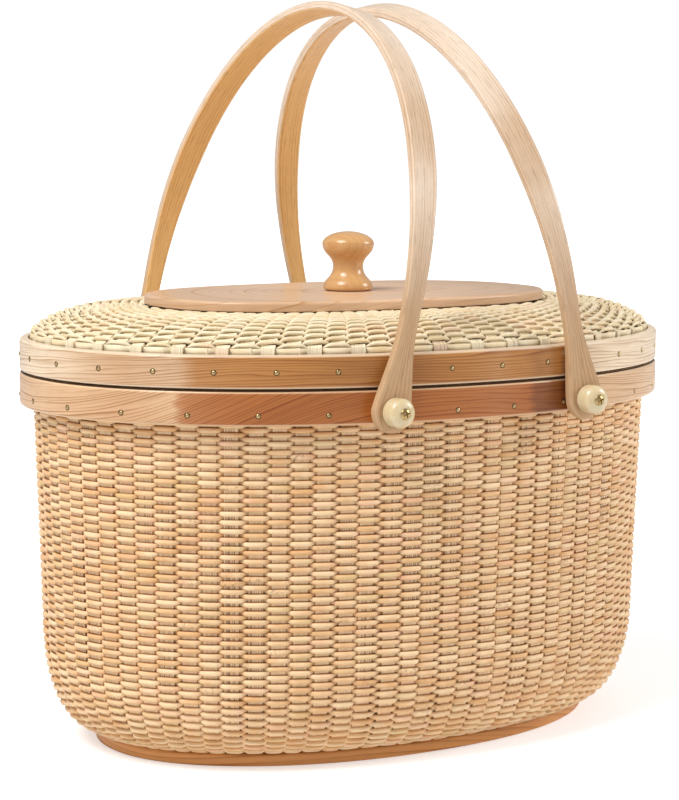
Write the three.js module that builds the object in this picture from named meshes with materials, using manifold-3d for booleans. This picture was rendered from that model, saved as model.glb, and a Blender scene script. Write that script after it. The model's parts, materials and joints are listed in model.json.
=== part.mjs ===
// Lidded oval basket: woven body and lid, bent wood hoops, two bow handles that swing on pins.
// Millimetres, +Z up. X runs along the oval, Y across it. The origin is under the middle of the base.
import * as THREE from 'three';
import { mergeVertices } from 'three/addons/utils/BufferGeometryUtils.js';
import Module from 'manifold-3d';

const wasm = await Module();
wasm.setup();

// Oval of the rim, the widest outline of the basket
const RIM_LENGTH = 304.8;
const RIM_WIDTH = 215.9;
const RIM_SQUARENESS = 2.1; // 2 is a plain ellipse, more is squarer
const SEAM_HEIGHT = 162.4; // where the lid meets the body
const OVAL_SEGMENTS = 56;

// Clearances
const SEAT_GAP = 0.3; // between pieces that rest on or are fixed to each other
const LID_PLAY = 0.8; // between the lid's locating ring and the mouth of the body

// Hoops
const BODY_HOOP_THICKNESS = 5.6;
const LID_HOOP_THICKNESS = 3.6;
const INNER_HOOP_THICKNESS = 3.8;
const BODY_HOOP_HEIGHT = 14.5;
const BODY_INNER_HOOP_HEIGHT = 16;
const LID_HOOP_HEIGHT = 14;
const LID_INNER_HOOP_HEIGHT = 11;
const LOCATING_RING_THICKNESS = 3.6; // of the part that hangs into the mouth of the body
const LOCATING_RING_DEPTH = 10; // how far it hangs in
const HOOP_EDGE_RADIUS = 1.6;

// Woven body
const WEAVE_THICKNESS = 3.6;
const UPRIGHT_BELOW_HOOPS = 2; // the wall stays upright this far below the hoops
const WALL_TAPER = 3.1; // how far the wall leans in from the hoop to the bottom bend
const BOTTOM_BEND_HEIGHT = 50;
const BOTTOM_BEND_SQUARENESS = 2.4;
const BOTTOM_BEND_STEPS = 7;
const BODY_STAVES = 83; // the weave makes a rib over each of them
const RIB_DEPTH = 1.3; // from the top of a rib to the hollow beside it
const BODY_RIB_MARKS = [[-0.28, true], [0.28, true], [0.5, false]]; // place beside a stave, on its rib?

// Base board
const BASE_INSET = 32; // its foot stands this far inside the rim's outline
const BASE_FOOT_HEIGHT = 5.6;
const BASE_FLOOR_THICKNESS = 4.2; // the part above the groove
const BOARD_EDGE_RADIUS = 1.4;
const GROOVE_DEPTH = 8; // groove round each board that takes the ends of the staves
const FLOOR_SETBACK = 2; // from the end of the bottom bend to the edge of the floor

// Woven lid
const LID_WEAVE_THICKNESS = 3.2;
const LID_SKIRT_SETBACK = 2; // from the hoop's lower edge to the end of the weave
const LID_SHOULDER = 2.2; // the weave stands this far above the hoop before it bends over
const LID_RISE = 11; // from the shoulder to the board
const LID_CROWN = 4; // how fast the lid bends over: 1 is a straight slope
const LID_DOME_STEPS = 6;
const LID_STEP_CROWDING = 1.6; // above 1 the steps crowd towards the shoulder
const LID_STAVES = 87;
const LID_RIB_MARKS = [[-0.26, true], [0.26, true], [0.5, false]];

// Lid board and knob
const LID_BOARD_LENGTH = 190;
const LID_BOARD_WIDTH = 114.6;
const LID_BOARD_SQUARENESS = 2.5;
const LID_BOARD_LIP = 4.3; // above the groove
const LID_BOARD_BACK = 3.5; // below the groove
const KNOB_HEIGHT = 26.2;
const KNOB_CAP_RADIUS = 11.6;
const KNOB_CAP_LEVEL = 20.7; // height of its widest line
const KNOB_WAIST_RADIUS = 6.8;
const KNOB_WAIST_LEVEL = 10.5; // height of its narrowest line
const KNOB_FOOT_RADIUS = 11.1;
const KNOB_FOOT_EDGE = 1.2;
const KNOB_CURVE_STEPS = 5;
const KNOB_SEGMENTS = 28;
const KNOB_SCREW_RADIUS = 2;
const KNOB_SCREW_GRIP = 14; // how far it reaches into the knob
const KNOB_SCREW_HEAD_RADIUS = 4;
const KNOB_SCREW_HEAD_HEIGHT = 2.6;

// Handles
const PIN_SPACING = 99; // between the two handles' pins, along X
const PIN_BELOW_SEAM = 8.7;
const HANDLE_LEAN = 12.7; // degrees inward from upright
const HANDLE_THICKNESS = 4.2;
const HANDLE_BAND_WIDTH = 12.4;
const HANDLE_NECK_WIDTH = 7.9;
const HANDLE_NECK_HEIGHT = 34; // above the pin
const HANDLE_FLARE_LENGTH = 70; // from the neck to the full band
const HANDLE_EAR_DIAMETER = 17.7;
const HANDLE_STRAIGHT_LEG = 45; // above the pin, before the bow bends
const HANDLE_BOW_RISE = 124.5; // above the straight legs, at the middle of the band
const HANDLE_BOW_STEPS = 36;

// Pins
const SPACER_THICKNESS = 3.1; // between hoop and ear, at the pin
const SPACER_RADIUS = 5;
const PIN_SCREW_RADIUS = 1.6;
const PIN_SCREW_HEAD_RADIUS = 2.3;
const PIN_SCREW_HEAD_HEIGHT = 1;
const PIN_TIP_COVER = 1.1; // wood left between the screw's tip and the inside of the basket
const PIN_KNOB_RADIUS = 6;
const PIN_KNOB_LENGTH = 7.9;
const PIN_KNOB_STRAIGHT = 5; // before its face rounds over
const PIN_KNOB_EDGE = 0.6;
const PIN_KNOB_FACE_STEPS = 3;
const ROUND_SEGMENTS = 16;

// Heights and insets that follow from the sizes above
const BODY_WEAVE_INSET = BODY_HOOP_THICKNESS + SEAT_GAP;
const BODY_INNER_INSET = BODY_WEAVE_INSET + WEAVE_THICKNESS + SEAT_GAP;
const MOUTH_INSET = BODY_INNER_INSET + INNER_HOOP_THICKNESS;
const LOCATING_RING_INSET = MOUTH_INSET + LID_PLAY;
const LID_WEAVE_INSET = LID_HOOP_THICKNESS + SEAT_GAP;
const LID_INNER_INSET = LID_WEAVE_INSET + LID_WEAVE_THICKNESS + SEAT_GAP;
const LID_HOOP_BOTTOM = SEAM_HEIGHT + SEAT_GAP;
const LID_HOOP_TOP = LID_HOOP_BOTTOM + LID_HOOP_HEIGHT;
const LID_DOME_START = LID_HOOP_TOP + LID_SHOULDER;
const LID_WEAVE_TOP = LID_DOME_START + LID_RISE;
const LID_DOME_RUN = (RIM_WIDTH - LID_BOARD_WIDTH) / 2 - LID_WEAVE_INSET;
const LID_BOARD_TOP = LID_WEAVE_TOP + SEAT_GAP + LID_BOARD_LIP;
const LID_BOARD_BOTTOM = LID_WEAVE_TOP - LID_WEAVE_THICKNESS - SEAT_GAP - LID_BOARD_BACK;
const BASE_GROOVE_TOP = BASE_FOOT_HEIGHT + WEAVE_THICKNESS + 2 * SEAT_GAP;
const BASE_FLOOR_HEIGHT = BASE_GROOVE_TOP + BASE_FLOOR_THICKNESS;
const PIN_HEIGHT = SEAM_HEIGHT - PIN_BELOW_SEAM;

const cane = new THREE.MeshStandardMaterial({ color: 0xdcb880, roughness: 0.6, metalness: 0 });
const cherry = new THREE.MeshStandardMaterial({ color: 0xb9824c, roughness: 0.42, metalness: 0 });
const oak = new THREE.MeshStandardMaterial({ color: 0xd9a368, roughness: 0.45, metalness: 0 });
const ash = new THREE.MeshStandardMaterial({ color: 0xd8b98c, roughness: 0.5, metalness: 0 });
const bone = new THREE.MeshStandardMaterial({ color: 0xefe4c3, roughness: 0.35, metalness: 0 });
const brass = new THREE.MeshStandardMaterial({ color: 0xb08d4a, roughness: 0.3, metalness: 1 });

// Solids and booleans

function toSolid(geometry) {
  const bare = geometry.index ? geometry.toNonIndexed() : geometry.clone();
  bare.deleteAttribute('normal');
  bare.deleteAttribute('uv');
  const merged = mergeVertices(bare, 1e-4);
  return new wasm.Manifold(new wasm.Mesh({
    numProp: 3,
    vertProperties: merged.attributes.position.array,
    triVerts: new Uint32Array(merged.index.array),
  }));
}

function toGeometry(solid) {
  const mesh = solid.getMesh();
  const geometry = new THREE.BufferGeometry();
  geometry.setAttribute('position', new THREE.BufferAttribute(mesh.vertProperties, 3));
  geometry.setIndex(new THREE.BufferAttribute(mesh.triVerts, 1));
  geometry.computeVertexNormals();
  return geometry;
}

// Turns every face round if the faces point into the solid.
function facingOut(geometry) {
  const position = geometry.attributes.position;
  const corners = geometry.index.array;
  const a = new THREE.Vector3();
  const b = new THREE.Vector3();
  const c = new THREE.Vector3();
  let volume = 0;
  for (let i = 0; i < corners.length; i += 3) {
    a.fromBufferAttribute(position, corners[i]);
    b.fromBufferAttribute(position, corners[i + 1]);
    c.fromBufferAttribute(position, corners[i + 2]);
    volume += a.dot(b.cross(c));
  }
  if (volume < 0) {
    for (let i = 0; i < corners.length; i += 3) {
      [corners[i], corners[i + 2]] = [corners[i + 2], corners[i]];
    }
  }
  return geometry;
}

function joined(geometry) {
  const bare = geometry.clone();
  bare.deleteAttribute('normal');
  bare.deleteAttribute('uv');
  const merged = mergeVertices(bare, 1e-4);
  const corners = [];
  const index = merged.index.array;
  for (let i = 0; i < index.length; i += 3) {
    const [p, q, r] = [index[i], index[i + 1], index[i + 2]];
    if (p !== q && q !== r && r !== p) corners.push(p, q, r);
  }
  merged.setIndex(corners);
  return facingOut(merged);
}

// A point of a squared ellipse, moved inward by inset along the outline's own normal.
function ovalPoint(length, width, squareness, angle, inset) {
  const a = length / 2;
  const b = width / 2;
  const c = Math.cos(angle);
  const s = Math.sin(angle);
  const x = Math.sign(c) * a * Math.abs(c) ** (2 / squareness);
  const y = Math.sign(s) * b * Math.abs(s) ** (2 / squareness);
  const nx = Math.sign(c) * (Math.abs(x) / a) ** (squareness - 1) / a;
  const ny = Math.sign(s) * (Math.abs(y) / b) ** (squareness - 1) / b;
  const size = Math.hypot(nx, ny);
  return [x - (inset * nx) / size, y - (inset * ny) / size];
}

function rimPoint(angle, inset) {
  return ovalPoint(RIM_LENGTH, RIM_WIDTH, RIM_SQUARENESS, angle, inset);
}

function lidBoardPoint(angle, inset) {
  return ovalPoint(LID_BOARD_LENGTH, LID_BOARD_WIDTH, LID_BOARD_SQUARENESS, angle, inset);
}

// Half the rim's width at a distance x along it.
function rimHalfWidthAt(x) {
  const across = 1 - Math.abs((2 * x) / RIM_LENGTH) ** RIM_SQUARENESS;
  return (RIM_WIDTH / 2) * across ** (1 / RIM_SQUARENESS);
}

// Turns a profile of [inset, height] round an oval. An inset of null is a point on the axis.
// A profile that closes on itself makes a ring, one that runs from axis to axis a full board.
function turnOval(profile, outline) {
  const points = profile.map(([inset, height]) => new THREE.Vector2(inset === null ? 0 : 1, height));
  const geometry = new THREE.LatheGeometry(points, OVAL_SEGMENTS);
  const position = geometry.attributes.position;
  for (let i = 0; i < position.count; i += 1) {
    const [inset, height] = profile[i % profile.length];
    const turn = Math.floor(i / profile.length) % OVAL_SEGMENTS;
    const angle = (turn * 2 * Math.PI) / OVAL_SEGMENTS;
    const [x, y] = inset === null ? [0, 0] : outline(angle, inset);
    position.setXYZ(i, x, y, height);
  }
  return joined(geometry);
}

// The angle at a share of the way round an oval, measured along it.
function angleByShare(outline) {
  const samples = 1440;
  const way = [0];
  let last = outline(0, 0);
  for (let i = 1; i <= samples; i += 1) {
    const point = outline((i * 2 * Math.PI) / samples, 0);
    way.push(way[i - 1] + Math.hypot(point[0] - last[0], point[1] - last[1]));
    last = point;
  }
  return (share) => {
    const distance = ((share + 1) % 1) * way[samples];
    let i = 1;
    while (way[i] < distance) i += 1;
    const part = (distance - way[i - 1]) / (way[i] - way[i - 1]);
    return ((i - 1 + part) * 2 * Math.PI) / samples;
  };
}

const rimAngle = angleByShare(rimPoint);
const lidBoardAngle = angleByShare(lidBoardPoint);

// A point on the flat facets that the hoops and boards have between their corners.
function facetPoint(outline, angle, inset) {
  const facet = Math.floor((angle * OVAL_SEGMENTS) / (2 * Math.PI));
  const part = (angle * OVAL_SEGMENTS) / (2 * Math.PI) - facet;
  const from = outline((facet * 2 * Math.PI) / OVAL_SEGMENTS, inset);
  const to = outline(((facet + 1) * 2 * Math.PI) / OVAL_SEGMENTS, inset);
  return [0, 1].map((axis) => from[axis] + (to[axis] - from[axis]) * part);
}

// Turns a profile round an oval with a rib over each stave: the crest's profile on the ribs, the
// hollow's between them. The marks say where in a stave's room each step stands.
function turnRibbed(crest, hollow, outline, staves, marks) {
  const count = staves * marks.length;
  const points = crest.map(([inset, height]) => new THREE.Vector2(inset === null ? 0 : 1, height));
  const geometry = new THREE.LatheGeometry(points, count);
  const position = geometry.attributes.position;
  for (let i = 0; i < position.count; i += 1) {
    const turn = Math.floor(i / crest.length) % count;
    const [place, onRib] = marks[turn % marks.length];
    const [inset, height] = (onRib ? crest : hollow)[i % crest.length];
    const share = (Math.floor(turn / marks.length) + place) / staves;
    const [x, y] = inset === null ? [0, 0] : outline(share, inset);
    position.setXYZ(i, x, y, height);
  }
  return joined(geometry);
}

// Turns a profile of [radius, height] round the Y axis, as a lathe does.
function turnRound(profile, segments = ROUND_SEGMENTS) {
  return joined(new THREE.LatheGeometry(profile.map(([r, h]) => new THREE.Vector2(r, h)), segments));
}

// A corner of a profile rounded in two steps, from one edge to the other.
function roundedCorner(inset, height, radius, insetSign, heightSign) {
  const diagonal = radius * (1 - Math.SQRT1_2);
  return [
    [inset + insetSign * radius, height],
    [inset + insetSign * diagonal, height + heightSign * diagonal],
    [inset, height + heightSign * radius],
  ];
}

// A bent strip with its two outer edges rounded.
function outerHoop(thickness, bottom, top) {
  return turnOval([
    [thickness, bottom],
    ...roundedCorner(0, bottom, HOOP_EDGE_RADIUS, 1, 1),
    ...roundedCorner(0, top, HOOP_EDGE_RADIUS, 1, -1).reverse(),
    [thickness, top],
    [thickness, bottom],
  ], rimPoint);
}

function plainHoop(inset, thickness, bottom, top) {
  return turnOval([
    [inset + thickness, bottom],
    [inset, bottom],
    [inset, top],
    [inset + thickness, top],
    [inset + thickness, bottom],
  ], rimPoint);
}

// A profile moved sideways by distance, square to itself.
function offsetProfile(profile, distance) {
  return profile.map((point, i) => {
    const before = profile[Math.max(i - 1, 0)];
    const after = profile[Math.min(i + 1, profile.length - 1)];
    const along = Math.hypot(after[0] - before[0], after[1] - before[1]);
    const square = [(before[1] - after[1]) / along, (after[0] - before[0]) / along];
    return [point[0] + square[0] * distance, point[1] + square[1] * distance];
  });
}

// A cylinder along Y, between two places on it, that cuts the holes for a pin.
function pinCutter(x, height, radius, from, to) {
  const geometry = new THREE.CylinderGeometry(radius, radius, Math.abs(to - from), ROUND_SEGMENTS);
  geometry.translate(x, (from + to) / 2, height);
  return toSolid(geometry);
}

// The four pins: a front and a back one for each handle.
const PIN_X = PIN_SPACING / 2;
const HOOP_FACE = rimHalfWidthAt(PIN_X);
const EAR_INNER_FACE = HOOP_FACE + SPACER_THICKNESS;
const HANDLE_HALF_SPAN = EAR_INNER_FACE + HANDLE_THICKNESS / 2;
const PIN_KNOB_FACE = EAR_INNER_FACE + HANDLE_THICKNESS + SEAT_GAP;
const RIM_SLANT = Math.cos(Math.atan2(
  rimHalfWidthAt(PIN_X - 1) - rimHalfWidthAt(PIN_X + 1),
  2,
));
const PIN_TIP_INSET = MOUTH_INSET - PIN_TIP_COVER; // it stops inside the inner hoop
const PIN_TIP = HOOP_FACE - PIN_TIP_INSET / RIM_SLANT;
const PINS = [
  { name: 'front_left', x: -PIN_X, side: -1 },
  { name: 'front_right', x: PIN_X, side: -1 },
  { name: 'back_left', x: -PIN_X, side: 1 },
  { name: 'back_right', x: PIN_X, side: 1 },
];

function withPinHoles(geometry) {
  let solid = toSolid(geometry);
  for (const pin of PINS) {
    const from = pin.side * (HOOP_FACE + SPACER_THICKNESS);
    const to = pin.side * (PIN_TIP - SEAT_GAP);
    solid = solid.subtract(pinCutter(pin.x, PIN_HEIGHT, PIN_SCREW_RADIUS + SEAT_GAP, from, to));
  }
  return toGeometry(solid);
}

// Body

function wovenBody() {
  const top = SEAM_HEIGHT - SEAT_GAP;
  const bendTopInset = BODY_WEAVE_INSET + WALL_TAPER;
  const bottom = BASE_FOOT_HEIGHT + SEAT_GAP;
  const bendEndInset = BASE_INSET + GROOVE_DEPTH / 2;
  const bendDepth = bendEndInset - bendTopInset;
  const hoopBottom = SEAM_HEIGHT - Math.max(BODY_HOOP_HEIGHT, BODY_INNER_HOOP_HEIGHT);
  const outside = [[BODY_WEAVE_INSET, top], [BODY_WEAVE_INSET, hoopBottom - UPRIGHT_BELOW_HOOPS]];
  for (let step = 0; step <= BOTTOM_BEND_STEPS; step += 1) {
    const turn = (step / BOTTOM_BEND_STEPS) * (Math.PI / 2);
    const inset = bendEndInset - bendDepth * Math.cos(turn) ** (2 / BOTTOM_BEND_SQUARENESS);
    const drop = BOTTOM_BEND_HEIGHT * Math.sin(turn) ** (2 / BOTTOM_BEND_SQUARENESS);
    outside.push([inset, bottom + BOTTOM_BEND_HEIGHT - drop]);
  }
  const endInset = BASE_INSET + GROOVE_DEPTH - 2 * SEAT_GAP;
  outside.push([endInset, bottom]);
  const inside = offsetProfile(outside, WEAVE_THICKNESS).reverse();
  const hollow = offsetProfile(outside, RIB_DEPTH);
  hollow[0][1] = top;
  const rimShare = (share, inset) => facetPoint(rimPoint, rimAngle(share), inset);
  const beyond = endInset + 1;
  const full = turnRibbed(
    [[null, top], ...outside, [beyond, bottom], [null, bottom]],
    [[null, top], ...hollow, [beyond, bottom + RIB_DEPTH], [null, bottom + RIB_DEPTH]],
    rimShare,
    BODY_STAVES,
    BODY_RIB_MARKS,
  );
  const lastInside = inside[inside.length - 1];
  const room = turnOval([
    [null, bottom - 1],
    [endInset, bottom - 1],
    ...inside.slice(0, -1),
    [lastInside[0], top + 1],
    [null, top + 1],
  ], rimPoint);
  return withPinHoles(toGeometry(toSolid(full).subtract(toSolid(room))));
}

function baseBoard() {
  const grooveInset = BASE_INSET + GROOVE_DEPTH;
  const floorInset = BASE_INSET + GROOVE_DEPTH / 2 + FLOOR_SETBACK;
  return turnOval([
    [null, 0],
    ...roundedCorner(BASE_INSET, 0, BOARD_EDGE_RADIUS, 1, 1),
    ...roundedCorner(BASE_INSET, BASE_FOOT_HEIGHT, BOARD_EDGE_RADIUS, 1, -1).reverse(),
    [grooveInset, BASE_FOOT_HEIGHT],
    [grooveInset, BASE_GROOVE_TOP],
    [floorInset, BASE_GROOVE_TOP],
    [floorInset, BASE_FLOOR_HEIGHT],
    [null, BASE_FLOOR_HEIGHT],
  ], rimPoint);
}

// Lid

// The weave runs from the hoop's outline to the board's: part is 0 at the hoop, 1 at the board's
// edge and 2 at the bottom of its groove. Deeper faces start further inside the hoop.
function lidWeavePoint(rimOutline, boardOutline, [part, depth]) {
  const rim = rimOutline(LID_WEAVE_INSET + depth);
  const board = boardOutline(0);
  const groove = boardOutline(GROOVE_DEPTH - 2 * SEAT_GAP);
  if (part <= 1) return [0, 1].map((axis) => rim[axis] + (board[axis] - rim[axis]) * part);
  return [0, 1].map((axis) => board[axis] + (groove[axis] - board[axis]) * (part - 1));
}

function plainLidPoint(angle, place) {
  return lidWeavePoint((inset) => rimPoint(angle, inset), (inset) => lidBoardPoint(angle, inset), place);
}

function ribbedLidPoint(share, place) {
  return lidWeavePoint(
    (inset) => facetPoint(rimPoint, rimAngle(share), inset),
    (inset) => facetPoint(lidBoardPoint, lidBoardAngle(share), inset),
    place,
  );
}

function lidOuterHeight(part) {
  return LID_DOME_START + LID_RISE * (1 - (1 - part) ** LID_CROWN);
}

// The height of a face that lies some depth under the outer one, measured square to the slope.
function lidHeightUnder(part, depth) {
  const outerPart = part + ((1 - part) * depth) / LID_DOME_RUN;
  const slope = (LID_RISE * LID_CROWN * (1 - outerPart) ** (LID_CROWN - 1)) / LID_DOME_RUN;
  return lidOuterHeight(outerPart) - depth * Math.hypot(1, slope);
}

function lidProfile(depth, bottom) {
  const profile = [[[0, depth], bottom]];
  for (let step = 0; step <= LID_DOME_STEPS; step += 1) {
    const part = (step / LID_DOME_STEPS) ** LID_STEP_CROWDING;
    profile.push([[part, depth], lidHeightUnder(part, depth)]);
  }
  profile.push([[2, 0], LID_WEAVE_TOP - depth]);
  return profile;
}

function lidWeave() {
  const bottom = LID_HOOP_BOTTOM + LID_SKIRT_SETBACK;
  const full = turnRibbed(
    [[null, bottom], ...lidProfile(0, bottom), [null, LID_WEAVE_TOP]],
    [[null, bottom], ...lidProfile(RIB_DEPTH, bottom), [null, LID_WEAVE_TOP - RIB_DEPTH]],
    ribbedLidPoint,
    LID_STAVES,
    LID_RIB_MARKS,
  );
  const room = turnOval([
    [null, bottom - 1],
    ...lidProfile(LID_WEAVE_THICKNESS, bottom - 1),
    [[2, 0], LID_WEAVE_TOP + 1],
    [null, LID_WEAVE_TOP + 1],
  ], plainLidPoint);
  return toGeometry(toSolid(full).subtract(toSolid(room)));
}

// A ring with a rebate: its upper part lines the lid, its lower part hangs into the body's mouth.
function locatingRing(top) {
  const shoulderInset = LID_INNER_INSET + INNER_HOOP_THICKNESS + SEAT_GAP;
  const inside = LOCATING_RING_INSET + LOCATING_RING_THICKNESS;
  const bottom = SEAM_HEIGHT - LOCATING_RING_DEPTH;
  return turnOval([
    [inside, bottom],
    [LOCATING_RING_INSET, bottom],
    [LOCATING_RING_INSET, LID_HOOP_BOTTOM],
    [shoulderInset, LID_HOOP_BOTTOM],
    [shoulderInset, top],
    [inside, top],
    [inside, bottom],
  ], rimPoint);
}

function lidBoard() {
  const lipBottom = LID_WEAVE_TOP + SEAT_GAP;
  const backTop = LID_BOARD_BOTTOM + LID_BOARD_BACK;
  const board = turnOval([
    [null, LID_BOARD_BOTTOM],
    [GROOVE_DEPTH / 2, LID_BOARD_BOTTOM],
    [GROOVE_DEPTH / 2, backTop],
    [GROOVE_DEPTH, backTop],
    [GROOVE_DEPTH, lipBottom],
    [0, lipBottom],
    ...roundedCorner(0, LID_BOARD_TOP, BOARD_EDGE_RADIUS, 1, -1).reverse(),
    [null, LID_BOARD_TOP],
  ], lidBoardPoint);
  const hole = new THREE.CylinderGeometry(
    KNOB_SCREW_RADIUS + SEAT_GAP,
    KNOB_SCREW_RADIUS + SEAT_GAP,
    2 * KNOB_HEIGHT,
    ROUND_SEGMENTS,
  );
  hole.rotateX(Math.PI / 2);
  hole.translate(0, 0, LID_BOARD_TOP);
  return toGeometry(toSolid(board).subtract(toSolid(hole)));
}

// Turned knob, its foot at height 0, standing along Y until it is placed.
function knobGeometry() {
  const bore = KNOB_SCREW_RADIUS + SEAT_GAP;
  const boreDepth = KNOB_SCREW_GRIP + SEAT_GAP;
  const cove = KNOB_WAIST_LEVEL / 2;
  const swell = (KNOB_WAIST_LEVEL + KNOB_CAP_LEVEL) / 2;
  const crown = (KNOB_CAP_LEVEL + KNOB_HEIGHT) / 2;
  const outline = new THREE.Path();
  outline.moveTo(KNOB_FOOT_RADIUS - KNOB_FOOT_EDGE, 0);
  outline.quadraticCurveTo(KNOB_FOOT_RADIUS, 0, KNOB_FOOT_RADIUS, KNOB_FOOT_EDGE);
  outline.bezierCurveTo(KNOB_FOOT_RADIUS, cove, KNOB_WAIST_RADIUS, cove, KNOB_WAIST_RADIUS, KNOB_WAIST_LEVEL);
  outline.bezierCurveTo(KNOB_WAIST_RADIUS, swell, KNOB_CAP_RADIUS, swell, KNOB_CAP_RADIUS, KNOB_CAP_LEVEL);
  outline.bezierCurveTo(KNOB_CAP_RADIUS, crown, KNOB_WAIST_RADIUS, KNOB_HEIGHT, 0, KNOB_HEIGHT);
  const outside = outline.getPoints(KNOB_CURVE_STEPS).map((point) => [point.x, point.y]);
  return turnRound([[0, boreDepth], [bore, boreDepth], [bore, 0], ...outside], KNOB_SEGMENTS);
}

function knobScrewGeometry() {
  const headTop = LID_BOARD_BOTTOM - SEAT_GAP;
  const tip = LID_BOARD_TOP + SEAT_GAP + KNOB_SCREW_GRIP;
  return turnRound([
    [0, headTop - KNOB_SCREW_HEAD_HEIGHT],
    [KNOB_SCREW_RADIUS, headTop - KNOB_SCREW_HEAD_HEIGHT],
    [KNOB_SCREW_HEAD_RADIUS, headTop - KNOB_SCREW_HEAD_HEIGHT / 2],
    [KNOB_SCREW_HEAD_RADIUS, headTop],
    [KNOB_SCREW_RADIUS, headTop],
    [KNOB_SCREW_RADIUS, tip - 2 * KNOB_SCREW_RADIUS],
    [0, tip],
  ]);
}

// Handles, upright with the pins' axis along Y through the origin, until they are placed

// The bow seen along X: straight legs and a rounded top, as thick as the band.
function bowOutline() {
  const outer = HANDLE_HALF_SPAN + HANDLE_THICKNESS / 2;
  const inner = EAR_INNER_FACE;
  const bottom = -HANDLE_EAR_DIAMETER / 2;
  const outerRise = HANDLE_BOW_RISE + HANDLE_THICKNESS / 2;
  const innerRise = HANDLE_BOW_RISE - HANDLE_THICKNESS / 2;
  const shape = new THREE.Shape();
  shape.moveTo(outer, bottom);
  shape.lineTo(outer, HANDLE_STRAIGHT_LEG);
  shape.absellipse(0, HANDLE_STRAIGHT_LEG, outer, outerRise, 0, Math.PI, false);
  shape.lineTo(-outer, bottom);
  shape.lineTo(-inner, bottom);
  shape.lineTo(-inner, HANDLE_STRAIGHT_LEG);
  shape.absellipse(0, HANDLE_STRAIGHT_LEG, inner, innerRise, Math.PI, 0, true);
  shape.lineTo(inner, bottom);
  return shape;
}

// The leg seen along Y: a round ear, a narrow neck and the full band above it.
function legOutline() {
  const ear = HANDLE_EAR_DIAMETER / 2;
  const neck = HANDLE_NECK_WIDTH / 2;
  const band = HANDLE_BAND_WIDTH / 2;
  const bandStart = HANDLE_NECK_HEIGHT + HANDLE_FLARE_LENGTH;
  const top = HANDLE_STRAIGHT_LEG + HANDLE_BOW_RISE + HANDLE_THICKNESS;
  const reach = Math.hypot(neck, HANDLE_NECK_HEIGHT);
  const lift = Math.atan2(HANDLE_NECK_HEIGHT, neck) - Math.acos(ear / reach);
  const taper = HANDLE_NECK_HEIGHT / 3;
  const startX = ear * Math.cos(lift);
  const startY = ear * Math.sin(lift);
  const easeX = startX - taper * Math.tan(lift);
  const shape = new THREE.Shape();
  shape.moveTo(-band, top);
  shape.lineTo(-band, bandStart);
  shape.bezierCurveTo(-band, bandStart - taper, -neck, HANDLE_NECK_HEIGHT + taper, -neck, HANDLE_NECK_HEIGHT);
  shape.bezierCurveTo(-neck, HANDLE_NECK_HEIGHT - taper, -easeX, startY + taper, -startX, startY);
  shape.absarc(0, 0, ear, Math.PI - lift, 2 * Math.PI + lift, false);
  shape.bezierCurveTo(easeX, startY + taper, neck, HANDLE_NECK_HEIGHT - taper, neck, HANDLE_NECK_HEIGHT);
  shape.bezierCurveTo(neck, HANDLE_NECK_HEIGHT + taper, band, bandStart - taper, band, bandStart);
  shape.lineTo(band, top);
  return shape;
}

function handleGeometry() {
  const depth = HANDLE_EAR_DIAMETER + HANDLE_BAND_WIDTH;
  const bow = new THREE.ExtrudeGeometry(bowOutline(), {
    depth,
    bevelEnabled: false,
    curveSegments: HANDLE_BOW_STEPS,
  });
  bow.translate(0, 0, -depth / 2);
  bow.applyMatrix4(new THREE.Matrix4().makeBasis(
    new THREE.Vector3(0, 1, 0),
    new THREE.Vector3(0, 0, 1),
    new THREE.Vector3(1, 0, 0),
  ));
  const span = 2 * (HANDLE_HALF_SPAN + HANDLE_THICKNESS);
  const leg = new THREE.ExtrudeGeometry(legOutline(), {
    depth: span,
    bevelEnabled: false,
    curveSegments: 9,
  });
  leg.translate(0, 0, -span / 2);
  leg.rotateX(Math.PI / 2);
  const hole = pinCutter(0, 0, PIN_SCREW_RADIUS + SEAT_GAP, -span / 2, span / 2);
  return toGeometry(toSolid(bow).intersect(toSolid(leg)).subtract(hole));
}

// Pins, each drawn pointing along +Y with the ear's outer face at 0

function pinKnobGeometry() {
  const bore = PIN_SCREW_RADIUS + SEAT_GAP;
  const face = [];
  for (let step = 0; step <= PIN_KNOB_FACE_STEPS; step += 1) {
    const turn = (step / PIN_KNOB_FACE_STEPS) * (Math.PI / 2);
    face.push([
      PIN_SCREW_HEAD_RADIUS + (PIN_KNOB_RADIUS - PIN_SCREW_HEAD_RADIUS) * Math.cos(turn),
      PIN_KNOB_STRAIGHT + (PIN_KNOB_LENGTH - PIN_KNOB_STRAIGHT) * Math.sin(turn),
    ]);
  }
  return turnRound([
    [bore, 0],
    [PIN_KNOB_RADIUS - PIN_KNOB_EDGE, 0],
    [PIN_KNOB_RADIUS, PIN_KNOB_EDGE],
    ...face,
    [bore, PIN_KNOB_LENGTH],
    [bore, 0],
  ]);
}

function pinScrewGeometry() {
  const headSeat = PIN_KNOB_LENGTH + SEAT_GAP;
  return turnRound([
    [0, PIN_TIP - PIN_KNOB_FACE],
    [PIN_SCREW_RADIUS, PIN_TIP - PIN_KNOB_FACE + PIN_SCREW_RADIUS],
    [PIN_SCREW_RADIUS, headSeat],
    [PIN_SCREW_HEAD_RADIUS, headSeat],
    [PIN_SCREW_HEAD_RADIUS, headSeat + PIN_SCREW_HEAD_HEIGHT / 2],
    [PIN_SCREW_RADIUS, headSeat + PIN_SCREW_HEAD_HEIGHT],
    [0, headSeat + PIN_SCREW_HEAD_HEIGHT],
  ]);
}

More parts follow.
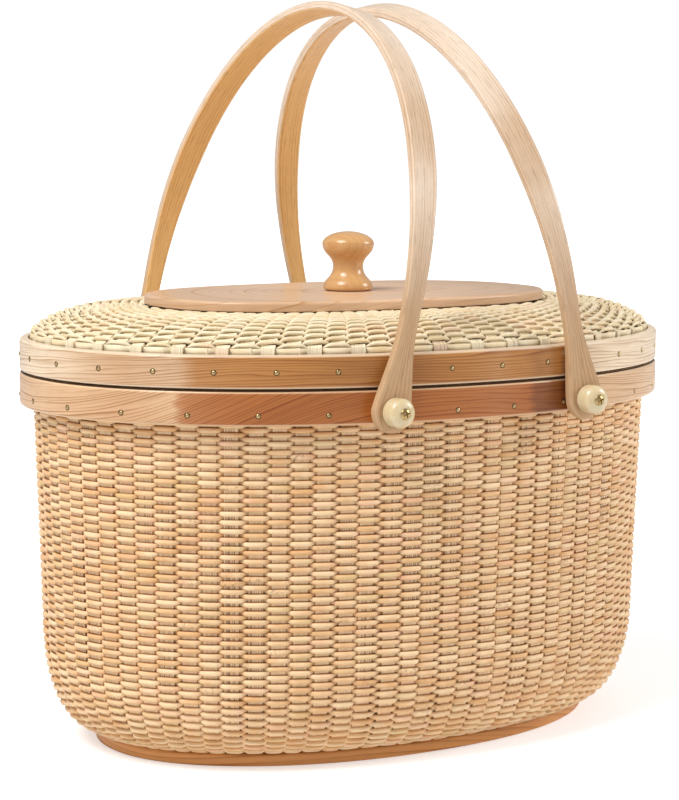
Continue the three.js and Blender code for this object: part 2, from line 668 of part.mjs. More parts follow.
// A round spacer whose inner face is shaped to the hoop that it lies on.
function pinSpacer(pin) {
  const outerEnd = pin.side * (EAR_INNER_FACE - SEAT_GAP);
  const innerEnd = pin.side * (HOOP_FACE - BODY_HOOP_THICKNESS / 2);
  const blank = pinCutter(pin.x, PIN_HEIGHT, SPACER_RADIUS, outerEnd, innerEnd);
  const bore = pinCutter(pin.x, PIN_HEIGHT, PIN_SCREW_RADIUS + SEAT_GAP, 2 * outerEnd, 0);
  const hoop = plainHoop(
    -SEAT_GAP,
    2 * BODY_HOOP_THICKNESS,
    PIN_HEIGHT - 2 * SPACER_RADIUS,
    PIN_HEIGHT + 2 * SPACER_RADIUS,
  );
  return toGeometry(blank.subtract(bore).subtract(toSolid(hoop)));
}

// Assembly

const group = new THREE.Group();

function add(parent, name, geometry, material) {
  const mesh = new THREE.Mesh(geometry, material);
  mesh.name = name;
  parent.add(mesh);
  return mesh;
}

const body = new THREE.Group();
group.add(body);
const bodyHoopBottom = SEAM_HEIGHT - BODY_HOOP_HEIGHT;
const bodyHoop = outerHoop(BODY_HOOP_THICKNESS, bodyHoopBottom, SEAM_HEIGHT);
const bodyInnerBottom = SEAM_HEIGHT - BODY_INNER_HOOP_HEIGHT;
const bodyInnerHoop = plainHoop(BODY_INNER_INSET, INNER_HOOP_THICKNESS, bodyInnerBottom, SEAM_HEIGHT);
add(body, 'base_board', baseBoard(), oak);
add(body, 'woven_body', wovenBody(), cane);
add(body, 'body_outer_hoop', withPinHoles(bodyHoop), cherry);
add(body, 'body_inner_hoop', withPinHoles(bodyInnerHoop), cherry);

const lid = new THREE.Group();
group.add(lid);
const lidInnerTop = LID_HOOP_BOTTOM + LID_INNER_HOOP_HEIGHT;
const lidInnerHoop = plainHoop(LID_INNER_INSET, INNER_HOOP_THICKNESS, LID_HOOP_BOTTOM, lidInnerTop);
add(lid, 'lid_outer_hoop', outerHoop(LID_HOOP_THICKNESS, LID_HOOP_BOTTOM, LID_HOOP_TOP), cherry);
add(lid, 'lid_inner_hoop', lidInnerHoop, cherry);
add(lid, 'lid_locating_ring', locatingRing(lidInnerTop), cherry);
add(lid, 'lid_weave', lidWeave(), cane);
add(lid, 'lid_board', lidBoard(), oak);
const knob = add(lid, 'lid_knob', knobGeometry(), oak);
knob.rotation.x = Math.PI / 2;
knob.position.z = LID_BOARD_TOP + SEAT_GAP;
const knobScrew = add(lid, 'lid_knob_screw', knobScrewGeometry(), brass);
knobScrew.rotation.x = Math.PI / 2;

for (const [side, name] of [[-1, 'handle_left'], [1, 'handle_right']]) {
  const hinge = new THREE.Group();
  hinge.position.set(side * PIN_X, 0, PIN_HEIGHT);
  hinge.rotation.y = -side * THREE.MathUtils.degToRad(HANDLE_LEAN);
  group.add(hinge);
  add(hinge, name, handleGeometry(), ash);
}

for (const pin of PINS) {
  const place = new THREE.Group();
  place.position.set(pin.x, pin.side * PIN_KNOB_FACE, PIN_HEIGHT);
  if (pin.side < 0) place.rotation.z = Math.PI;
  body.add(place);
  add(place, `pin_knob_${pin.name}`, pinKnobGeometry(), bone);
  add(place, `pin_screw_${pin.name}`, pinScrewGeometry(), brass);
  add(body, `pin_spacer_${pin.name}`, pinSpacer(pin), bone);
}

export default group;
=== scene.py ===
"""Lidded oval basket: woven cane body and lid, bent wood hoops, boards, bow handles and their pins."""
import json
import math

import bmesh
import bpy
import numpy as np
from bpy.props import FloatProperty, FloatVectorProperty, IntProperty, PointerProperty
from mathutils import Matrix, Vector


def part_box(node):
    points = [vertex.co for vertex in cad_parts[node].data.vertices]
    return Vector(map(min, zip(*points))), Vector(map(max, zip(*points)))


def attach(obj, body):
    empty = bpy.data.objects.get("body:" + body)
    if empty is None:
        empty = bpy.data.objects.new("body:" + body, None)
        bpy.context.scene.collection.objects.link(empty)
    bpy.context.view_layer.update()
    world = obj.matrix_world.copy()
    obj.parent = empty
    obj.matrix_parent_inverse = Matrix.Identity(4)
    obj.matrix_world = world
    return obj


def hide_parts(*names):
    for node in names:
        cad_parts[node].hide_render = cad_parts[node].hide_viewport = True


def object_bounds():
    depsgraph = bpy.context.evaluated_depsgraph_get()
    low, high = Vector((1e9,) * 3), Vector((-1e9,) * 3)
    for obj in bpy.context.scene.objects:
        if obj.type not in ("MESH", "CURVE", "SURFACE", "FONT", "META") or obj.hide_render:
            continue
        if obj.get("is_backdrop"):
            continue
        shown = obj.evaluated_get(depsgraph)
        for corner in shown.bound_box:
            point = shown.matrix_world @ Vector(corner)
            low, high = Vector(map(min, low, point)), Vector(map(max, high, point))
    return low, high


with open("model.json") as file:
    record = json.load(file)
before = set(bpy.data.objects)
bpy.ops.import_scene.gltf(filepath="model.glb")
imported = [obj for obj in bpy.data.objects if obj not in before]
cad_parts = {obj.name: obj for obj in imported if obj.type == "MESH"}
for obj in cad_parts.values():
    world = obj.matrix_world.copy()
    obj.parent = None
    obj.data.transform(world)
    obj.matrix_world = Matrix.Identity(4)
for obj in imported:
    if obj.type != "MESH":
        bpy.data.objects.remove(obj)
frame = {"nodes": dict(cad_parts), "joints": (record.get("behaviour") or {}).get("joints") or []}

bl_info = {
    "name": "Lidded oval basket",
    "version": (1, 0, 0),
    "blender": (4, 5, 0),
    "location": "3D view, sidebar, Basket",
    "description": "Builds a lidded oval basket with woven cane, bent hoops and swinging bow handles",
    "category": "Object",
}

MM = 0.001


def size_of(node):
    """Length, width and height of a node of the frame."""
    low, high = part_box(node)
    return high - low


def inset_of(node):
    """How far a node's outline lies inside the rim's, at the ends of the oval."""
    return (RIM.x - size_of(node).x) / 2


# Sizes that follow the frame
RIM = size_of("body_outer_hoop")
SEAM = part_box("body_outer_hoop")[1].z
BODY_HOOP_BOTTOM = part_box("body_outer_hoop")[0].z
LID_HOOP_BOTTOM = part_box("lid_outer_hoop")[0].z
LID_HOOP_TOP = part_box("lid_outer_hoop")[1].z
BODY_WEAVE_INSET = inset_of("woven_body")
BODY_WEAVE_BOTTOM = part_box("woven_body")[0].z
BODY_WEAVE_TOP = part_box("woven_body")[1].z
BODY_INNER_INSET = inset_of("body_inner_hoop")
LID_WEAVE_INSET = inset_of("lid_weave")
LID_WEAVE_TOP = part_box("lid_weave")[1].z
LID_INNER_INSET = inset_of("lid_inner_hoop")
BASE_INSET = inset_of("base_board")
BASE_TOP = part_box("base_board")[1].z
LID_BOARD = size_of("lid_board")
LID_BOARD_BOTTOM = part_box("lid_board")[0].z
LID_BOARD_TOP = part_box("lid_board")[1].z
KNOB_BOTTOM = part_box("lid_knob")[0].z
KNOB_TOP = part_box("lid_knob")[1].z
HINGES = {joint["child"]: Vector(joint["pos_m"]) for joint in frame["joints"] if joint["type"] == "hinge"}
PIN_NAMES = ("front_left", "front_right", "back_left", "back_right")

# Shapes of the outlines, as in the frame
RIM_SQUARENESS = 2.1
LID_BOARD_SQUARENESS = 2.5
OVAL_SAMPLES = 7200
OVAL_STEPS = 256
ROUND_STEPS = 48
TACK_STEPS = 12
CORNER_STEPS = 4
REACH = 1.0  # radius that stands for the outline while a profile is spun
WEAVER_START = 0.25  # share of the way round where the weaver begins
STAVE_SPREAD = 0.05  # how unevenly the staves stand, as a share of their spacing
STAVE_ROOM = 0.68  # the most of its spacing that a stave may fill
BODY_SEED = 3
LID_SEED = 5

# Walls and hoops
BODY_HOOP_THICKNESS = 5.6 * MM
LID_HOOP_THICKNESS = 3.6 * MM
INNER_HOOP_THICKNESS = 3.8 * MM
HOOP_EDGE_RADIUS = 1.6 * MM
SEAT_GAP = 0.3 * MM
BODY_WALL = 3.6 * MM
LID_WALL = 3.2 * MM
WALL_TAPER = 3.1 * MM
UPRIGHT_BOTTOM = SEAM - 18 * MM
BEND_HEIGHT = 50 * MM
BEND_SQUARENESS = 2.4
BEND_SAMPLES = 90
GROOVE_DEPTH = 8 * MM
FOOT_HEIGHT = 5.6 * MM
FLOOR_SETBACK = 2 * MM
RING_PLAY = 0.8 * MM
RING_INSET = BODY_INNER_INSET + INNER_HOOP_THICKNESS + RING_PLAY
BOARD_EDGE_RADIUS = 1.4 * MM
LID_SHOULDER = 2.2 * MM
LID_RISE = LID_WEAVE_TOP - LID_HOOP_TOP - LID_SHOULDER
LID_CROWN = 4
LID_BOARD_LIP = 4.3 * MM
LID_BOARD_BACK = 3.5 * MM

# The bow handles, upright, measured from the pins' axis
EAR_INNER_FACE = -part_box("handle_left")[0].y - 4.2 * MM
BAND_THICKNESS = 4.2 * MM
HALF_SPAN = EAR_INNER_FACE + BAND_THICKNESS / 2
STRAIGHT_LEG = 45 * MM
BOW_RISE = 124.5 * MM
EAR_RADIUS = 8.85 * MM
NECK_HALF_WIDTH = 3.95 * MM
NECK_HEIGHT = 34 * MM
BAND_HALF_WIDTH = 6.2 * MM
BAND_START = 104 * MM
HANDLE_LEAN = math.radians(12.7)

# Pins, measured outward from the ear's outer face
PIN_HEIGHT = HINGES["handle_left"].z
PIN_X = HINGES["handle_right"].x
PIN_KNOB_FACE = EAR_INNER_FACE + BAND_THICKNESS + SEAT_GAP
PIN_KNOB_RADIUS = 6 * MM
PIN_KNOB_LENGTH = 7.9 * MM
PIN_KNOB_STRAIGHT = 5 * MM
PIN_SCREW_RADIUS = 1.6 * MM
PIN_SCREW_HEAD = 2.3 * MM

# The camera that stands where the picture was taken from
CAMERA_TURN = math.radians(-32.98)
CAMERA_RISE = math.radians(6.48)
CAMERA_ROLL = math.radians(0.34)
CAMERA_DISTANCE = 1110.5 * MM
CAMERA_TARGET = Vector((-4.13, 0, 145.19)) * MM
CAMERA_LENS = 111.08
CAMERA_SENSOR = 36
CAMERA_FAR = 30

# The light: how bright the camera sees the sky, and each lamp's turn and rise, distance and size
SKY_SEEN = 1.05
LAMPS = {"key": (-75, 52, 1.9, 0.9), "fill": (62, 22, 2.2, 0.8)}


def length(name, text, millimetres):
    return FloatProperty(name=name, description=text, default=millimetres * MM, unit="LENGTH", precision=4)


def amount(name, text, default, low, high):
    return IntProperty(name=name, description=text, default=default, min=low, max=high)


def strength(name, text, default):
    return FloatProperty(name=name, description=text, default=default, min=0)


def colour(name, text, *default):
    return FloatVectorProperty(name=name, description=text, subtype="COLOR", size=3, min=0, max=1, default=default)


class WeaveSizes(bpy.types.PropertyGroup):
    """Sizes of the staves and of the weavers that run over and under them."""

    body_staves: amount("Body staves", "Staves round the body; odd, so that one weaver can go on and on", 83, 31, 151)
    lid_staves: amount("Lid staves", "Staves round the lid; an odd number", 87, 31, 151)
    stave_width: length("Stave width", "Width of a stave at the hoops", 5.9)
    stave_thickness: length("Stave thickness", "Thickness of a stave", 1.0)
    row_pitch: length("Row pitch", "From one row of the weaver to the next, on the body", 1.8)
    lid_row_pitch: length("Lid row pitch", "From one row of the weaver to the next, on the lid", 2.0)
    weaver_height: length("Weaver height", "Width of the weaver where it passes over a stave", 2.3)
    weaver_thickness: length("Weaver thickness", "Thickness of the weaver over a stave", 1.45)
    lid_weaver_thickness: length("Lid weaver thickness", "Thickness of the weaver over a stave, on the lid", 1.4)
    strip_height: length("Strip height", "Width of the flat strip that starts the lid's weave at its hoop", 3.4)
    steps_per_stave: amount("Steps per stave", "Points of the weaver for each stave", 8, 4, 16)


class TrimSizes(bpy.types.PropertyGroup):
    """Sizes of the tacks in the hoops."""

    lid_tacks: amount("Lid tacks", "Tacks round the lid's outer hoop", 33, 8, 60)
    body_tacks: amount("Body tacks", "Tacks round the body's outer hoop", 29, 8, 60)
    tack_radius: length("Tack radius", "Radius of a tack's head", 0.85)
    tack_rise: length("Tack rise", "How far a tack's head stands out of the hoop", 0.4)
    body_tack_level: length("Body tack level", "Height of the tacks above the body hoop's lower edge", 4.4)


class FinishColours(bpy.types.PropertyGroup):
    """Colours of the woods, cane, bone and brass."""

    cane_light: colour("Cane, light", "Pale straw parts of the body's cane", 0.9, 0.66, 0.4)
    cane_dark: colour("Cane, dark", "Honey parts of the body's cane", 0.75, 0.43, 0.19)
    lid_cane_light: colour("Lid cane, light", "Pale parts of the lid's cane", 0.88, 0.77, 0.55)
    lid_cane_dark: colour("Lid cane, dark", "Warmer parts of the lid's cane", 0.8, 0.63, 0.38)
    hoop_brown: colour("Body hoop, heartwood", "Red-brown middle of the body's hoop", 0.45, 0.15, 0.036)
    lid_hoop_brown: colour("Lid hoop, heartwood", "Golden brown middle of the lid's hoop", 0.5, 0.22, 0.06)
    # The pale ends of the hoops are partly sapwood and partly painted reflection of the soft lights.
    hoop_pale: colour("Lid hoop, sapwood", "Pale ends of the lid's hoop", 0.93, 0.77, 0.57)
    body_hoop_pale: colour("Body hoop, sapwood", "Pale ends of the body's hoop", 0.87, 0.62, 0.38)
    board_light: colour("Board, light", "Early wood of the lid's board", 0.74, 0.5, 0.32)
    board_dark: colour("Board, dark", "Late wood of the lid's board", 0.5, 0.26, 0.11)
    base_light: colour("Base, light", "Early wood of the base board", 0.82, 0.38, 0.12)
    base_dark: colour("Base, dark", "Late wood of the base board", 0.5, 0.19, 0.05)
    handle_outer: colour("Handle, outside", "Pale straw of the handles' outer faces", 0.8, 0.66, 0.53)
    handle_low: colour("Handle, outside near the ears", "Darker straw near the handles' ears", 0.56, 0.36, 0.2)
    # The inner tan is partly the wood's colour and partly painted shade on the faces turned away from the light.
    handle_inner: colour("Handle, inside", "Warm tan of the handles' inner faces", 0.83, 0.5, 0.2)
    knob_honey: colour("Knob", "Honey colour of the turned knob", 0.62, 0.36, 0.15)
    bone: colour("Bone", "Cream of the pin knobs and spacers", 0.69, 0.57, 0.36)
    brass: colour("Brass", "Brass of the screws and tacks", 0.54, 0.38, 0.17)
    floor: colour("Floor", "Pale floor under the basket", 0.75, 0.75, 0.75)


class StageSettings(bpy.types.PropertyGroup):
    """The soft lights and the floor."""

    floor_radius: FloatProperty(name="Floor radius", description="Radius of the floor", default=6, unit="LENGTH")
    sky: strength("Sky", "Brightness of the even light from all round", 0.42)
    key_power: strength("Key light", "Power of the large light at the upper left, in watts", 33)
    fill_power: strength("Fill light", "Power of the light on the right, in watts", 22)


# Outlines and surfaces


class Oval:
    """A squared ellipse, read by the share of the way round it from its right end."""

    def __init__(self, length, width, squareness):
        angles = np.linspace(0, 2 * math.pi, OVAL_SAMPLES + 1)
        cosine, sine = np.cos(angles), np.sin(angles)
        across, up = length / 2, width / 2
        self.x = np.sign(cosine) * across * np.abs(cosine) ** (2 / squareness)
        self.y = np.sign(sine) * up * np.abs(sine) ** (2 / squareness)
        out_x = np.sign(cosine) * (np.abs(self.x) / across) ** (squareness - 1) / across
        out_y = np.sign(sine) * (np.abs(self.y) / up) ** (squareness - 1) / up
        size = np.hypot(out_x, out_y)
        self.out_x, self.out_y = out_x / size, out_y / size
        way = np.concatenate([[0], np.cumsum(np.hypot(np.diff(self.x), np.diff(self.y)))])
        self.round = way[-1]
        self.share = way / way[-1]

    def read(self, share, values):
        return np.interp(np.mod(share, 1), self.share, values)

    def outward(self, share):
        out = np.array([self.read(share, self.out_x), self.read(share, self.out_y)])
        return out / np.linalg.norm(out, axis=0)

    def point(self, share, inset=0):
        place = np.array([self.read(share, self.x), self.read(share, self.y)])
        return place - inset * self.outward(share)


RIM_OVAL = Oval(RIM.x, RIM.y, RIM_SQUARENESS)
LID_BOARD_OVAL = Oval(LID_BOARD.x, LID_BOARD.y, LID_BOARD_SQUARENESS)


class Wall:
    """The middle of a weave; each kind says where it lies and how many staves it usually has."""

    def crowding(self, share, way):
        """How much closer the staves stand there than at the rim."""
        step = 0.5 / self.usual_staves / 4
        here, there = self.at(share - step, way)[0], self.at(share + step, way)[0]
        return np.linalg.norm(there - here, axis=-1) / (2 * step * RIM_OVAL.round)


class BodyWall(Wall):
    """The middle of the woven wall, read by the share round and the distance down from its top."""

    usual_staves = 83

    def __init__(self):
        end_inset = BASE_INSET + GROOVE_DEPTH / 2
        depth = end_inset - BODY_WEAVE_INSET - WALL_TAPER
        turn = np.linspace(0, math.pi / 2, BEND_SAMPLES)
        inset = end_inset - depth * np.abs(np.cos(turn)) ** (2 / BEND_SQUARENESS)
        height = BODY_WEAVE_BOTTOM + BEND_HEIGHT * (1 - np.sin(turn) ** (2 / BEND_SQUARENESS))
        inset = np.concatenate([[BODY_WEAVE_INSET] * 2, inset, [end_inset + GROOVE_DEPTH / 2 - 2 * SEAT_GAP]])
        height = np.concatenate([[BODY_WEAVE_TOP, UPRIGHT_BOTTOM], height, [BODY_WEAVE_BOTTOM]])
        inward, down = np.gradient(inset), np.gradient(height)
        size = np.hypot(inward, down)
        self.out, self.up = -down / size, -inward / size
        self.inset = inset + self.out * BODY_WALL / 2
        self.height = height - self.up * BODY_WALL / 2
        steps = np.hypot(np.diff(self.inset), np.diff(self.height))
        self.way = np.concatenate([[0], np.cumsum(steps)])
        self.length = self.way[-1]

    def at(self, share, way):
        """Places and outward directions on the wall's middle."""
        inset, height, out, up = (
            np.interp(way, self.way, values) for values in (self.inset, self.height, self.out, self.up))
        plan = RIM_OVAL.point(share, inset)
        side = RIM_OVAL.outward(share)
        place = np.stack([plan[0], plan[1], height * np.ones_like(plan[0])], axis=-1)
        outward = np.stack([side[0] * out, side[1] * out, up * np.ones_like(side[0])], axis=-1)
        return place, outward


class LidWall(Wall):
    """The middle of the woven lid, read by the share round and the distance up from behind the hoop."""

    usual_staves = 87

    def __init__(self):
        self.skirt_bottom = LID_HOOP_BOTTOM + 2 * MM
        self.skirt = LID_HOOP_TOP + LID_SHOULDER - self.skirt_bottom
        self.run = (RIM.y - LID_BOARD.y) / 2 - LID_WEAVE_INSET
        part = np.linspace(0, 1, BEND_SAMPLES) ** 2
        rise = LID_RISE * (1 - (1 - part) ** LID_CROWN)
        steps = np.hypot(np.diff(part) * self.run, np.diff(rise))
        self.part = np.concatenate([[0], part])
        self.way = np.concatenate([[0], self.skirt + np.concatenate([[0], np.cumsum(steps)])])
        self.length = self.way[-1]

    def at(self, share, way):
        """Places and outward directions on the lid's middle."""
        part = np.interp(way, self.way, self.part)
        skirt = np.minimum(way, self.skirt)
        height = self.skirt_bottom + skirt + LID_RISE * (1 - (1 - part) ** LID_CROWN)
        rim = RIM_OVAL.point(share, LID_WEAVE_INSET)
        board = LID_BOARD_OVAL.point(share)
        plan = rim + (board - rim) * part
        run = np.linalg.norm(board - rim, axis=0)
        slope = LID_RISE * LID_CROWN * (1 - part) ** (LID_CROWN - 1) / run
        slope = np.where(way < self.skirt, 1e3, slope)
        side = (rim - board) / run
        size = np.hypot(1, slope)
        outward = np.stack([side[0] * slope / size, side[1] * slope / size, np.ones_like(run) / size], axis=-1)
        place = np.stack([plan[0], plan[1], height], axis=-1)
        return place - outward * LID_WALL / 2, outward


def bezier(start, pull, push, end, steps):
    """Points of a curve with two handles, its start left out."""
    way = np.linspace(0, 1, steps + 1)[1:, None]
    start, pull, push, end = (np.array(point, float) for point in (start, pull, push, end))
    return (
        start * (1 - way) ** 3 + 3 * pull * way * (1 - way) ** 2
        + 3 * push * way ** 2 * (1 - way) + end * way ** 3)


def rounded_corner(centre, radius, start, end):
    """Points of an arc from one angle to another, in quarter turns."""
    angles = np.linspace(start, end, CORNER_STEPS + 1) * math.pi / 2
    return [(centre[0] + radius * math.cos(a), centre[1] + radius * math.sin(a)) for a in angles]


# Pieces


def smooth(mesh, sharp_above=40):
    """Shades a mesh smoothly, apart from its sharp edges."""
    mesh.polygons.foreach_set("use_smooth", [True] * len(mesh.polygons))
    mesh.set_sharp_from_angle(angle=math.radians(sharp_above))
    return mesh


def placed(name, data):
    """A new object in the scene that shows some data."""
    thing = bpy.data.objects.new(name, data)
    bpy.context.scene.collection.objects.link(thing)
    return thing


def mesh_from(bm, name):
    mesh = bpy.data.meshes.new(name)
    bm.to_mesh(mesh)
    bm.free()
    return mesh


def piece(name, mesh, body, material, stands_for=()):
    """Puts a finished mesh into the scene as a piece that rides on a body."""
    mesh.name = name
    mesh.materials.clear()
    mesh.materials.append(material)
    thing = placed(name, mesh)
    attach(thing, body)
    if stands_for:
        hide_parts(*stands_for)
    return thing


def dress(node, material):
    """Gives a node of the frame that stays as it is its material, on its object."""
    for slot in frame["nodes"][node].material_slots:
        slot.link = "OBJECT"
        slot.material = material


def finished_mesh(bm, name):
    """Merges doubles, turns the faces outwards and makes a mesh."""
    bmesh.ops.remove_doubles(bm, verts=bm.verts, dist=1e-7)
    bmesh.ops.recalc_face_normals(bm, faces=bm.faces)
    return smooth(mesh_from(bm, name))


def even_normals(thing):
    """Keeps large flat faces flat beside rounded edges."""
    modifier = thing.modifiers.new("Even normals", "WEIGHTED_NORMAL")
    modifier.keep_sharp = True
    return thing


def spin(bm, profile, steps, closed=False):
    """Spins a profile of (radius, height) round Z."""
    ring = [bm.verts.new((radius, 0, height)) for radius, height in profile]
    edges = [bm.edges.new(pair) for pair in zip(ring, ring[1:])]
    if closed:
        edges.append(bm.edges.new((ring[-1], ring[0])))
    bmesh.ops.spin(
        bm, geom=ring + edges, cent=(0, 0, 0), axis=(0, 0, 1), dvec=(0, 0, 0),
        angle=2 * math.pi, steps=steps, use_merge=True)


def turned_oval(name, profile, oval):
    """Spins a closed profile of (inset, height) and lays it round an oval. An inset of None is the middle."""
    bm = bmesh.new()
    radii = [(0 if inset is None else REACH - inset, height) for inset, height in profile]
    spin(bm, radii, OVAL_STEPS, closed=profile[0][0] is not None)
    bmesh.ops.remove_doubles(bm, verts=bm.verts, dist=1e-6)
    grain = bm.loops.layers.uv.new("Grain")
    shares = {vert: (math.atan2(vert.co.y, vert.co.x) / (2 * math.pi)) % 1 for vert in bm.verts}
    for face in bm.faces:
        wraps = max(shares[v] for v in face.verts) - min(shares[v] for v in face.verts) > 0.5
        for loop in face.loops:
            share = shares[loop.vert]
            if wraps and share < 0.5:
                share += 1
            inset = REACH - loop.vert.co.xy.length
            loop[grain].uv = (share * oval.round, loop.vert.co.z - inset)
    for vert in bm.verts:
        distance = vert.co.xy.length
        if distance < 1e-6:
            continue
        x, y = oval.point(shares[vert], REACH - distance)
        vert.co.x, vert.co.y = x, y
    return finished_mesh(bm, name)


def hoop_profile(thickness, bottom, top):
    """A strip's section with its two outer edges rounded."""
    edge = HOOP_EDGE_RADIUS
    low = rounded_corner((edge, bottom + edge), edge, 3, 2)
    high = rounded_corner((edge, top - edge), edge, 2, 1)
    return [(thickness, bottom), *low, *high, (thickness, top)]


def spun(name, profile, place, steps=ROUND_STEPS):
    """Spins a profile of (radius, height) into a round piece and puts it in its place."""
    bm = bmesh.new()
    spin(bm, profile, steps)
    bmesh.ops.transform(bm, matrix=place, verts=bm.verts)
    return finished_mesh(bm, name)


def swept(name, sections, tint):
    """Extrudes one section through a row of places, and closes both ends.

    The grain's map has the way along the piece first and the way round the section second. The tint has a
    value for each point of the section.
    """
    bm = bmesh.new()
    grain = bm.loops.layers.uv.new("Grain")
    side = bm.verts.layers.float.new("outer_side")
    ring = [bm.verts.new(point) for point in sections[0]]
    edges = [bm.edges.new(pair) for pair in zip(ring, ring[1:] + ring[:1])]
    bm.faces.new(ring)
    spots = {vert: (0, index) for index, vert in enumerate(ring)}
    for row, section in enumerate(sections[1:], 1):
        made = bmesh.ops.extrude_edge_only(bm, edges=edges)["geom"]
        fresh = {part for part in made if isinstance(part, bmesh.types.BMVert)}
        following = []
        for old in ring:
            following.append(next(e.other_vert(old) for e in old.link_edges if e.other_vert(old) in fresh))
        for index, (vert, point) in enumerate(zip(following, section)):
            vert.co = point
            spots[vert] = (row, index)
        edges = [part for part in made if isinstance(part, bmesh.types.BMEdge)
                 and part.verts[0] in fresh and part.verts[1] in fresh]
        ring = following
    bm.faces.new(ring)
    centres = np.array([np.mean(section, axis=0) for section in sections])
    along = np.concatenate([[0], np.cumsum(np.linalg.norm(np.diff(centres, axis=0), axis=1))])
    middle = np.array(sections[len(sections) // 2])
    gaps = np.linalg.norm(np.roll(middle, -1, axis=0) - middle, axis=1)
    around = np.concatenate([[0], np.cumsum(gaps)])
    count = len(sections[0])
    for face in bm.faces:
        columns = [spots[vert][1] for vert in face.verts]
        wraps = len(face.verts) == 4 and max(columns) - min(columns) > 1
        for loop in face.loops:
            row, column = spots[loop.vert]
            if wraps and column == 0:
                column = count
            loop[grain].uv = (along[row], around[column])
    for vert, (row, column) in spots.items():
        vert[side] = tint[column]
    return finished_mesh(bm, name)


def applied(thing):
    """The mesh of an object with its modifiers and its curve worked out."""
    view = bpy.context.evaluated_depsgraph_get()
    view.update()
    return bpy.data.meshes.new_from_object(
        thing.evaluated_get(view), preserve_all_data_layers=True, depsgraph=view)


def cut_out(mesh, cutter, **settings):
    """The mesh without the room that the cutter's shape takes up."""
    blank, tool = placed("blank", mesh), placed("cutter", mesh_from(cutter, "cutter"))
    cut = blank.modifiers.new("Cut", "BOOLEAN")
    for key, value in dict(settings, object=tool, operation="DIFFERENCE", solver="EXACT").items():
        setattr(cut, key, value)
    result = applied(blank)
    for thing in (blank, tool):
        bpy.data.objects.remove(thing)
    return result


# Cane


def weaver_section(half_thickness, half_height, flat):
    """The weaver's cut: a flattened hexagon, as a closed curve, flat over a share of its height."""
    curve = bpy.data.curves.new("weaver_section", "CURVE")
    curve.dimensions = "2D"
    spline = curve.splines.new("POLY")
    corners = [(1, flat), (0, 1), (-1, flat), (-1, -flat), (0, -1), (1, -flat)]
    spline.points.add(len(corners) - 1)
    for point, (across, up) in zip(spline.points, corners):
        point.co = (half_thickness * across, half_height * up, 0, 1)
    spline.use_cyclic_u = True
    return placed("weaver_section", curve)


def strand(name, places, outward, radii, section, along, row, dive, flat):
    """One run of the weaver: a bevelled curve whose flat sides follow the wall, made into a mesh.

    Its attribute is a mask of painted shade: it rises towards the strand's upper edge and where the strand dives behind
    a stave.
    """
    ahead = np.gradient(places, axis=0)
    ahead /= np.linalg.norm(ahead, axis=1)[:, None]
    level = np.cross(ahead, (0, 0, 1))
    level /= np.linalg.norm(level, axis=1)[:, None]
    upright = np.cross(level, ahead)
    tilts = np.arctan2((outward * upright).sum(axis=1), (outward * level).sum(axis=1))
    curve = bpy.data.curves.new(name, "CURVE")
    curve.dimensions = "3D"
    curve.twist_mode = "Z_UP"
    curve.bevel_mode = "OBJECT"
    curve.bevel_object = section
    spline = curve.splines.new("POLY")
    spline.points.add(len(places) - 1)
    spline.points.foreach_set("co", np.column_stack([places, np.ones(len(places))]).ravel())
    spline.points.foreach_set("radius", radii)
    spline.points.foreach_set("tilt", tilts)
    holder = placed(name, curve)
    mesh = applied(holder)
    bpy.data.objects.remove(holder)
    bpy.data.curves.remove(curve)
    corners = len(section.data.splines[0].points)
    if len(mesh.vertices) != len(places) * corners:
        raise RuntimeError(f"{name} has {len(mesh.vertices)} points, not {len(places)} times {corners}")
    spots = np.column_stack([
        np.repeat(along, corners), np.repeat(row, corners), np.tile(np.arange(corners) / corners, len(along))])
    attribute = mesh.attributes.new("strand", "FLOAT_VECTOR", "POINT")
    attribute.data.foreach_set("vector", spots.astype(np.float32).ravel())
    corner = np.empty(len(mesh.vertices) * 3)
    mesh.vertices.foreach_get("co", corner)
    upward = np.cross(outward, ahead)
    rise = ((corner.reshape(len(places), corners, 3) - places[:, None]) * upward[:, None]).sum(axis=-1)
    rise /= np.abs(rise).max(axis=1, keepdims=True)
    # Mask of the painted shade in the crevices: strongest at the upper edge and where the strand dives.
    hidden = np.interp(rise, [-1, -flat, flat, 1], [0.35, 0, 0.1, 1]) + 0.5 * dive[:, None]
    mesh.attributes.new("hidden", "FLOAT", "POINT").data.foreach_set("value", hidden.astype(np.float32).ravel())
    bm = bmesh.new()
    bm.from_mesh(mesh)
    bmesh.ops.holes_fill(bm, edges=[edge for edge in bm.edges if edge.is_boundary], sides=corners)
    bmesh.ops.recalc_face_normals(bm, faces=bm.faces)
    bm.to_mesh(mesh)
    bm.free()
    return smooth(mesh, 180)


def stave_shares(count, seed):
    """Where each stave stands, as a share of the way round, a little unevenly as hand work is."""
    nudge = np.random.default_rng(seed).normal(0, STAVE_SPREAD, count)
    return (np.arange(count) + np.clip(nudge, -2 * STAVE_SPREAD, 2 * STAVE_SPREAD)) / count


